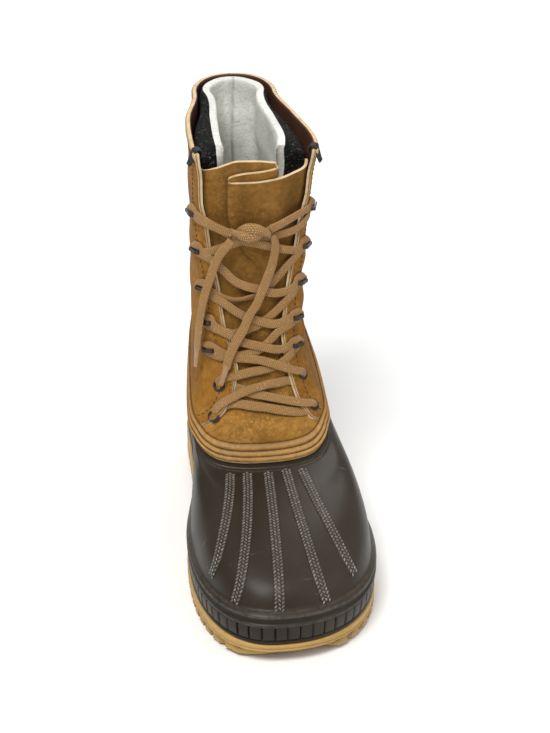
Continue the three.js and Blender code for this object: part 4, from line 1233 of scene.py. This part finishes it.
def quarter_grid():
    """Turns, sections and distances from the lower edge of the quarters' grid points."""
    shares = spread(250, 560, 2.5)
    gathered = shares - 0.5 / (2 * math.pi) * np.sin(2 * math.pi * shares)
    above = spread(56, 190, 2.5)[3:]
    level = mix(LOW_END, COLLAR - 0.01, np.concatenate([
        np.linspace(0, 0.07, LOW_COUNT), mix(0.085, 1, above)]))
    out_edge, in_edge = edge_at(THROAT_OUT, level), edge_at(THROAT_IN, level)
    turn = mix(out_edge[:, None], 1 - in_edge[:, None], gathered[None])
    low_turn, high_turn = turn[:LOW_COUNT], turn[LOW_COUNT:]
    low = climb(low_turn, top_line(low_turn), LOW_ROWS[:, None])
    first_gap = 1.5
    start = climb(high_turn, top_line(high_turn), LOW_ROWS[-1] + first_gap)
    v = np.concatenate([low, mix(start, collar_line(high_turn), above[:, None])])
    steps = np.linalg.norm(np.diff(surface(turn, v)[LOW_COUNT - 1:], axis=0), axis=-1)
    down = np.concatenate([
        np.broadcast_to(LOW_ROWS[:, None], low.shape),
        LOW_ROWS[-1] + first_gap + np.cumsum(steps, axis=0)])
    return turn, v, down


def quarters():
    """The two quarters, as one wall round the back from one throat edge to the other."""
    turn, v, down = quarter_grid()
    size = np.broadcast_to(down[-1:], down.shape)
    steps = np.diff(surface(turn, v), axis=1, prepend=surface(turn, v)[:, :1])
    along = np.cumsum(np.linalg.norm(steps, axis=-1), axis=1)
    beside = np.minimum(along, along[:, -1:] - along)
    outer, inner = quarter_offsets(turn, v, down, beside, size)
    seam = bump(np.abs(turn - 0.5), 0, 0.0022) * smooth(18, 22, down)
    outer = outer - 0.7 * seam
    # Painted shade: darker lines in the valleys at the stitched lines. The back seam's dark line is the
    # seam's own.
    deep = np.clip(0.9 * stitched_lines(down) * smooth(1, 4, beside), 0, 1)
    deep = np.clip(deep + 0.85 * seam, 0, 1)
    outside = slant_edges(at(turn, v, outer), beside + FAR * (down < SLANT_FROM))
    pale = np.clip(1 - smooth(3.6, 4.6, size - down) + welt_crests(down), 0, 1)
    leaf("suede_quarters", outside, at(turn, v, inner), [SUEDE, RAW, LINING], groove=0.9,
         fields={"deep": deep, "pale": pale, "soil_and_shade": soil_and_painted_shade(turn, v)}, replaces=["upper"],
         covered=int(np.sum(LOW_ROWS < SLANT_FROM)))
    return turn, v, outer, down, beside


# The tongue's fold. Across it, each place has its share of the way, how far it stands past the
# fold, its depth and the height of the top edge there, as in the part's source.
PLEAT_DEPTH = 5
PLEAT_WIDTH = 26
PLEAT = (
    (-1, 0, 0, 0, 11.72), (-1, 0.35, 0, 0.1, 11.8), (-1, 0.7, 0, 0.5, 11.92), (0, 0.05, 0, 0.92, 12.02),
    (0, 0.5, 0, 1, 12.04), (0, 0.96, 0, 1, 11.98), (0, 1, 0.7, 0.88, 11.9), (0, 1, 1, 0.75, 11.86),
    (0, 1, 0.7, 0.62, 11.83), (0, 0.5, 0, 0.5, 11.74), (0, 0, -0.7, 0.38, 11.66), (0, 0, -1, 0.25, 11.6),
    (0, 0, -0.7, 0.12, 11.57), (0, 0.5, 0, 0, 11.57), (0, 1, 0, 0, 11.63), (1, 0.5, 0, 0, 11.72),
    (1, 1, 0, 0, 11.84),
)
TONGUE_REACH = 17
TONGUE_DARKENING = 0.33
BIB_TURN = 0.168


def tongue_line(v, edge_in, edge_out, across):
    fold = float(smooth(9.2, 11.2, v))
    deep = PLEAT_DEPTH * min(1, 2.5 * fold)
    left, right = -PLEAT_WIDTH / 2, PLEAT_WIDTH / 2
    spans = {-1: (edge_in, left), 0: (left, right), 1: (right, edge_out)}
    line = []
    for k, (side, share, past, depth, _) in enumerate(PLEAT):
        flat = mix(edge_in, edge_out, k / (len(PLEAT) - 1))
        folded = mix(*spans[side], share) + past * PLEAT_DEPTH / 4
        line.append((mix(flat, folded, fold), depth * deep))
    return table_at(line, across)


TONGUE_ROWS_END = 11.8
TONGUE_GAP = 1.2
TONGUE_LENGTH = 170


def tongue_rows():
    """Each row's level in the middle, its distance from the lower edge and its share above that."""
    above = spread(76, 190, 2)[3:]
    first = climb(0.0, LOW_V, LOW_ROWS)
    start = float(climb(0.0, LOW_V, LOW_ROWS[-1] + TONGUE_GAP))
    low = [(level, down, None) for level, down in zip(first, LOW_ROWS)]
    return low + [(mix(start, TONGUE_ROWS_END, share), FAR, share) for share in above]


def bib_and_tongue():
    """One suede sheet from the rubber's edge up behind the eyestays to the folded top."""
    across = np.linspace(0, len(PLEAT) - 1, 129)
    beside = np.minimum(across, across[-1] - across) * 6
    tops = table_at([(row[-1],) for row in PLEAT], across)[:, 0]
    grids = ([], [])
    downs, turns, levels = [], [], []
    for level, row_down, share in tongue_rows():
        whole = per_turn(level)
        reach = smooth(6.3, 7.2, level)
        sides = [mix(BIB_TURN, float(edge_at(table, level)) + TONGUE_REACH / whole, reach)
                 for table in (THROAT_IN, THROAT_OUT)]
        line = tongue_line(level, -sides[0] * whole, sides[1] * whole, across)
        run = unit(np.stack([np.gradient(line[:, 0]), -np.gradient(line[:, 1])], -1))
        turn = line[:, 0] / whole
        if share is None:
            v = climb(turn, top_line(turn), row_down)
        else:
            v = mix(climb(turn, top_line(turn), LOW_ROWS[-1] + TONGUE_GAP), tops, share)
        on_bib = 1 - smooth(6.75, 7.5, v)
        inner, outer = (mix(t, b, on_bib) for t, b in zip(TONGUE, BIB))
        down = np.full(v.shape, float(row_down))
        from_top = FAR if share is None else (1 - share) * TONGUE_LENGTH
        from_edge = np.minimum(np.minimum(beside, down), from_top + 0.5)
        half = (outer - inner) / 2 * softness(from_edge, 1.1)
        middle = (inner + outer) / 2 - line[:, 1] + soft_rolls(turn, v)
        for side, puff, grid in ((-1, 0, grids[0]), (1, welt_puff(down), grids[1])):
            push = side * half
            grid.append(at(turn - push * run[:, 1] / whole, v, middle + push * run[:, 0] + puff))
        downs.append(down)
        turns.append(turn)
        levels.append(v)
    inner, outer, down, turn, v = (np.stack(rows) for rows in (*grids, downs, turns, levels))
    # The tongue above the bib is darker all over; the spot right of its top is painted shade.
    soil_and_shade = soil_and_painted_shade(turn, v) + TONGUE_DARKENING * smooth(7.2, 8.2, v)
    # deep here is painted shade in the valleys at the stitched lines.
    fields = {"deep": 0.9 * stitched_lines(down), "pale": welt_crests(down), "soil_and_shade": np.clip(soil_and_shade, 0, 1)}
    leaf("suede_bib_and_tongue", outer, inner, [BIB_SUEDE, RAW, BIB_SUEDE],
         fields=fields, replaces=["tongue"])


def soft_rolls(turn, v):
    """Gentle unevenness of the bib and the tongue, and the crease down the tongue's middle."""
    roll = 0.5 * np.sin(turn * 60 + v * 2.1) * smooth(6.6, 7.6, v)
    crease = bump(turn, -0.012 - 0.006 * (v - 9), 0.006)
    crease = crease * smooth(8.9, 9.6, v) * (1 - smooth(11, 11.5, v))
    press = bump(turn, 0.03, 0.03) * bump(v, 6.9, 0.2)
    return roll - 1.1 * crease - 0.5 * press


# The felt liner, open down its front: the opening's edge on each side, as section and turn.
LINER_OUT = ((9.2, 0), (9.5, 0.055), (10, 0.085), (10.8, 0.11), (11.3, 0.14), (11.7, 0.17),
             (11.96, 0.215))
LINER_IN = ((9.2, 0), (9.5, 0.05), (10, 0.08), (10.8, 0.10), (11.3, 0.12), (11.7, 0.145),
            (11.96, 0.195))
LINER_TOP = 11.96
LINER_ROUND = 400
LINER_GAP = 1.8
LINER_TOE_POWER = 2.1
# Millimetres of rise from one section to the next at the rim.
RIM_SECTION = 22
# How far the rim leans inward on the outer side, on the inner side and at that side's front.
LEAN_OUT = 13.5
LEAN_IN = 15.5
LEAN_FRONT = 9.5
TUCK = 6.5
BOOT_FLOOR = INSOLE_TOP + FELT_SOLE


def liner_offsets(turn, v, level, near):
    """Offsets of the felt's outside and inside, by the section before the collar's rise."""
    beside = np.minimum(turn, 1 - turn)
    face = mix(SHELL_WALL + LINER_GAP, LINER_GAP, smooth(7.9, 9.4, v) * smooth(0.16, 0.26, beside))
    face = face * (1 - 0.85 * smooth(10.9, 11.5, level))
    tuck = TUCK * smooth(8.6, 10.4, v) * (1 - smooth(0.05, 0.2, beside))
    lean = np.where(turn < 0.5, LEAN_OUT, mix(LEAN_FRONT, LEAN_IN, smooth(0.19, 0.29, beside)))
    lean = lean * (1 - smooth(0.17, 0.42, beside))
    throat = np.maximum(tuck, lean * smooth(10.0, 11.7, level))
    shoulder = np.maximum(tuck * (1 - smooth(10.9, 11.4, level)), lean * smooth(11.62, 11.98, level))
    shoulder = mix(throat, shoulder, smooth(2, 24, near))
    lumps = 0.5 * np.sin(turn * 50 + v * 1.7) + 0.35 * np.sin(turn * 23 - v * 3.1)
    wall = FELT_WALL + throat - shoulder
    middle = -(face + shoulder + wall / 2) + lumps * smooth(8.5, 10, v)
    from_top = (level[-1] - level) * RIM_SECTION
    half = wall / 2 * softness(np.minimum(near, from_top), 3.0)
    return middle + half, middle - half


def liner():
    rows = np.concatenate([np.linspace(0.95, 8, 22)[:-1], np.linspace(8, 11.6, 34)[:-1],
                           mix(11.6, LINER_TOP, np.array([0, 0.3, 0.55, 0.75, 0.9, 0.97, 1]))])
    shares = spread(120, LINER_ROUND, 3.2)
    level = rows[:, None]
    turn = mix(edge_at(LINER_OUT, level), 1 - edge_at(LINER_IN, level), shares[None])
    v = level + 0.95 * (collar_line(turn) - COLLAR) * smooth(10.9, LINER_TOP, level)
    near = np.minimum(shares, 1 - shares)[None] * LINER_ROUND
    outer, inner = (at(turn, v, offset, LINER_TOE_POWER)
                    for offset in liner_offsets(turn, v, level, near))
    floor = sole_top(inner[:3, :, 1]) + BOOT_FLOOR
    inner[:3, :, 2] = np.maximum(inner[:3, :, 2], floor)
    seam = bump(turn, 0.497 + 0.003 * np.sin(v * 2), 0.0028)
    ridge = 1.1 * seam - 0.7 * bump(turn, 0.51, 0.006)
    inner = inner + normal(turn, v) * ridge[..., None]
    leaf("felt_liner", outer, inner, [BLACK_FELT, FLEECE, FLEECE],
         fields={"seam": 0.8 * seam}, replaces=["liner"])
    footbed(inner[2])


def footbed(ring):
    """The felt under the foot, as a soft sheet from side to side."""
    half = len(ring) // 2
    left, right = ring[:half], ring[::-1][:half]
    share = np.linspace(-0.01, 1.01, 15)[None, :, None]
    top = mix(left[:, None], right[:, None], share)
    top[..., 2] = sole_top(top[..., 1]) + BOOT_FLOOR + 0.2
    under = top - np.array([0, 0, 3.0])
    leaf("felt_footbed", top, under, [FLEECE, FLEECE, FLEECE])


# Stitches, eyelets, hooks and tabs.
STITCH_LENGTH = 2.6
STITCH_PITCH = 3.7
STITCH_WIDTH = 0.75
STITCH_HEIGHT = 0.5
STITCH_SIDES = 6
# Along a stitch: share of its length, size and how far it sinks.
STITCH_RINGS = ((0, 0.45, -0.35), (0.5, 1, 0), (1, 0.45, -0.35))


def stitch(line, run, start):
    """The points of one stitch from a place on a line of points and outward directions."""
    first, last = (np.array([np.interp(start + d, run, column) for column in line.T])
                   for d in (0, STITCH_LENGTH))
    a, b, out = first[:3], last[:3], unit(first[3:])
    side = np.cross(unit(b - a), out)
    angles = circle(STITCH_SIDES)[:, None]
    ring = np.cos(angles) * side * STITCH_WIDTH / 2 + np.sin(angles) * out * STITCH_HEIGHT
    return np.concatenate([mix(a, b, share) + out * (STITCH_HEIGHT * 0.35 + sink) + ring * size
                           for share, size, sink in STITCH_RINGS])


def stitch_rows(name, rows):
    """Dark stitches along lines, each line a pair of point and outward arrays."""
    points = []
    for line, out in rows:
        dense, run = resample(np.concatenate([line, out], 1), 0.5)
        starts = np.arange(0.8, run[-1] - STITCH_LENGTH, STITCH_PITCH)
        points += [stitch(dense, run, start) for start in starts]
    rings = len(STITCH_RINGS)
    faces = [face for k in range(len(points))
             for face in tube_faces(rings, STITCH_SIDES, base=k * rings * STITCH_SIDES)]
    mesh_piece(name, np.concatenate(points), faces, [THREAD], crease=80)


def line_on(turn, v, offset):
    return at(turn, v, offset), normal(turn, v)


def welt_stitches():
    turns = np.linspace(-0.155, 0.155, 120)
    height = np.full(turns.shape, BIB[1] - 0.1)
    stitch_rows("bib_stitches", [line_on(turns, climb(turns, top_line(turns), down), height)
                                 for down in WELT_LINES])


def across_quarters(turn, v, outer, distance, wanted, column, trim, sink):
    """The grid row nearest a distance, without its ends."""
    row = int(np.argmin(np.abs(distance[:, column] - wanted)))
    inside = slice(trim, -trim)
    return line_on(turn[row, inside], v[row, inside], outer[row, inside] - sink)


def quarter_stitches(turn, v, outer, down, beside):
    rows = [across_quarters(turn, v, outer, down, line, 10, 5, 0.1) for line in WELT_LINES]
    rows += [along_edge(turn, v, outer, beside, down, distance, flip)
             for distance in (3.2, 9.2) for flip in (False, True)]
    rows += [across_quarters(turn, v, outer, down[-1:] - down, drop, 20, 8, 0) for drop in (4.0, 9.0)]
    levels = np.linspace(float(climb(0.5, top_line(np.array(0.5)), 18)), COLLAR - 0.1, 60)
    for side in (-0.0052, 0.0052):
        places = np.full(60, 0.5 + side)
        rows.append(line_on(places, levels, QUARTER[1] + creases(places, levels) + flare(levels)))
    stitch_rows("quarter_stitches", rows)


def along_edge(turn, v, outer, beside, down, distance, flip):
    """A line at a distance from the throat's edge, up one side."""
    half = turn.shape[1] // 2
    cols = slice(half, None) if flip else slice(0, half)
    places = []
    for i in np.flatnonzero(down[:, 10] > 17):
        order = np.argsort(beside[i, cols])
        places.append([np.interp(distance, beside[i, cols][order], grid[i, cols][order])
                       for grid in (turn, v, outer)])
    return line_on(*np.array(places).T)


def local_frame(turn, v, offset):
    out = normal(turn, v)
    up = unit(surface(turn, v + 0.01) - surface(turn, v - 0.01))
    round_ = np.cross(up, out)
    return at(turn, v, offset), round_, np.cross(out, round_), out


# Round an eyelet: distance from its middle and height.
EYELET_PROFILE = np.array([
    (2.3, -2.4), (2.3, 0.1), (2.5, 0.5), (3.0, 0.75), (3.7, 0.65), (4.2, 0.25), (4.3, -0.15),
    (2.9, -0.2), (2.9, -2.4)])
EYELET_STEPS = 28


def eyelet(name, turn, v):
    point, right, up, out = local_frame(turn, v, 3.5)
    angles = circle(EYELET_STEPS)[:, None]
    ring = np.cos(angles) * right + np.sin(angles) * up
    points = point + ring[:, None] * EYELET_PROFILE[None, :, :1] + out * EYELET_PROFILE[None, :, 1:]
    size = len(EYELET_PROFILE)
    last = (EYELET_STEPS - 1) * size
    faces = quads(EYELET_STEPS, size, wrap=True).tolist()
    faces += [[last + k, last + (k + 1) % size, (k + 1) % size, k] for k in range(size)]
    piece = mesh_piece(name + "_ring", points, faces, [METAL], crease=35)
    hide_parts(name)


# A hook seen from its end: its plate, its riser's bend and its lip, as distance from the throat's
# side and height. Its width changes along that path.
HOOK_BEND = np.linspace(0.2, math.pi - 0.2, 9)
HOOK_PATH = np.array([
    (3.9, 0.25), (1.5, 0.25), (-2.2, 0.25),
    *((-2.6 - 1.3 * math.sin(a), 2.35 - 2.1 * math.cos(a)) for a in HOOK_BEND),
    (-1.8, 4.35), (-0.4, 4.3), (1.4, 4.15), (3.0, 4.0), (3.8, 4.2)])
HOOK_WIDTHS = ((0, 3.6), (0.12, 5), (0.3, 3.4), (0.6, 2.6), (0.85, 2.8), (1, 2.2))
HOOK_HALF = 0.5


def hook(name, turn, v, side):
    """A bent hook: plate, riser on the throat's side and a rounded lip over the lace."""
    point, right, up, out = local_frame(turn, v, 3.75)
    away = 1 if side == "out" else -1
    path = HOOK_PATH
    widths = edge_at(HOOK_WIDTHS, np.linspace(0, 1, len(path)))
    tangent = unit(np.gradient(path, axis=0))
    across = np.linspace(-0.5, 0.5, 7)
    grids = []
    for push in (HOOK_HALF, -HOOK_HALF):
        shifted = path + np.stack([-tangent[:, 1], tangent[:, 0]], -1) * push
        grids.append(point + (shifted[:, 0, None, None] * away * right + shifted[:, 1, None, None] * out
                              + widths[:, None, None] * across[None, :, None] * up))
    piece = leaf(name + "_bent", grids[0], grids[1], [METAL, METAL, METAL])
    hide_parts(name)


# A tab from its tip over the collar's edge to the lining: share of its outer length up to the
# edge, and height outside the leather.
TAB_OUTSIDE = ((0, 5.4), (0.3, 4.0), (0.7, 2.6))
TAB_LENGTH = 9.0
TAB_HALF_WIDTH = 4.5
TAB_HALF_THICKNESS = 0.45
TAB_GRID = (26, 9)
TABS = (("tab_out", 0.15), ("tab_in", -0.156))


def tab(name, turn):
    """A tape tab folded over the collar's edge, its tip curling away."""
    top = float(collar_line(np.array(turn)))
    low = float(climb(np.array(turn), top, -TAB_LENGTH))
    path = [(mix(low, top, share), QUARTER[1] + height) for share, height in TAB_OUTSIDE]
    path += [(top - 0.03, QUARTER[1] + 2.0), (top + 0.04, QUARTER[1] + 1.2), (top + 0.05, 2.0),
             (top, 0.2), (top - 0.12, -0.1)]
    rows, cols = TAB_GRID
    dense = table_at(path, np.linspace(0, len(path) - 1, rows))
    v, offset = (np.broadcast_to(dense[:, k:k + 1], TAB_GRID) for k in (0, 1))
    narrow = 0.3 * (1 - smooth(0, 0.3, np.linspace(0, 1, rows)))[:, None]
    across = np.linspace(-1, 1, cols)[None]
    middle = at(turn + TAB_HALF_WIDTH / per_turn(COLLAR) * across * (1 - narrow), v, offset)
    facing = unit(np.cross(np.gradient(middle, axis=1), np.gradient(middle, axis=0)))
    shift = facing * TAB_HALF_THICKNESS
    leaf(name + "_fold", middle - shift, middle + shift, [TAPE, TAPE, TAPE], replaces=[name])


def hardware():
    for row, (v, out, inner) in enumerate(LACE_ROWS):
        for side, turn in (("out", out), ("in", inner)):
            if row < EYELET_ROWS:
                eyelet(f"eyelet_{side}_{row + 1}", turn, v)
            else:
                hook(f"hook_{side}_{row + 1}", turn, v, side)
    for name, turn in TABS:
        tab(name, turn)


# Places and sizes here are metres, and strengths watts.
FLOOR_SIZE = 40
WORLD_STRENGTH = 0.42
LIGHTS = (
    ("key", (-0.5, -0.8, 1.7), 0.8, 29), ("fill", (1.3, -0.9, 1.1), 1.2, 6),
    ("back", (0.3, 1.3, 1.5), 1.2, 16),
)
LIT_POINT = Vector((0, 0, 0.12))


def floor_and_light():
    bpy.ops.mesh.primitive_plane_add(size=FLOOR_SIZE)
    floor = bpy.context.active_object
    floor.name = "floor"
    look = Look("pale floor", (0.92, 0.92, 0.91), 0.8, specular_ior_level=0.2)
    floor.data.materials.append(look.material)
    world = bpy.data.worlds.new("studio")
    world.use_nodes = True
    background = world.node_tree.nodes["Background"].inputs
    background["Color"].default_value = (1, 1, 1, 1)
    background["Strength"].default_value = WORLD_STRENGTH
    bpy.context.scene.world = world
    bpy.context.scene.view_settings.view_transform = "Standard"
    for name, place, size, power in LIGHTS:
        data = bpy.data.lights.new(name, "AREA")
        data.size = size
        data.energy = power
        lamp = bpy.data.objects.new(name, data)
        bpy.context.scene.collection.objects.link(lamp)
        lamp.location = place
        lamp.rotation_euler = (LIT_POINT - Vector(place)).to_track_quat("-Z", "Y").to_euler()


outsole()
shell()
vamp_bands()
quarter_grids = quarters()
bib_and_tongue()
liner()
welt_stitches()
quarter_stitches(*quarter_grids)
hardware()
floor_and_light()
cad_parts["insole"].data.materials.clear()
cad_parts["insole"].data.materials.append(BOARD)
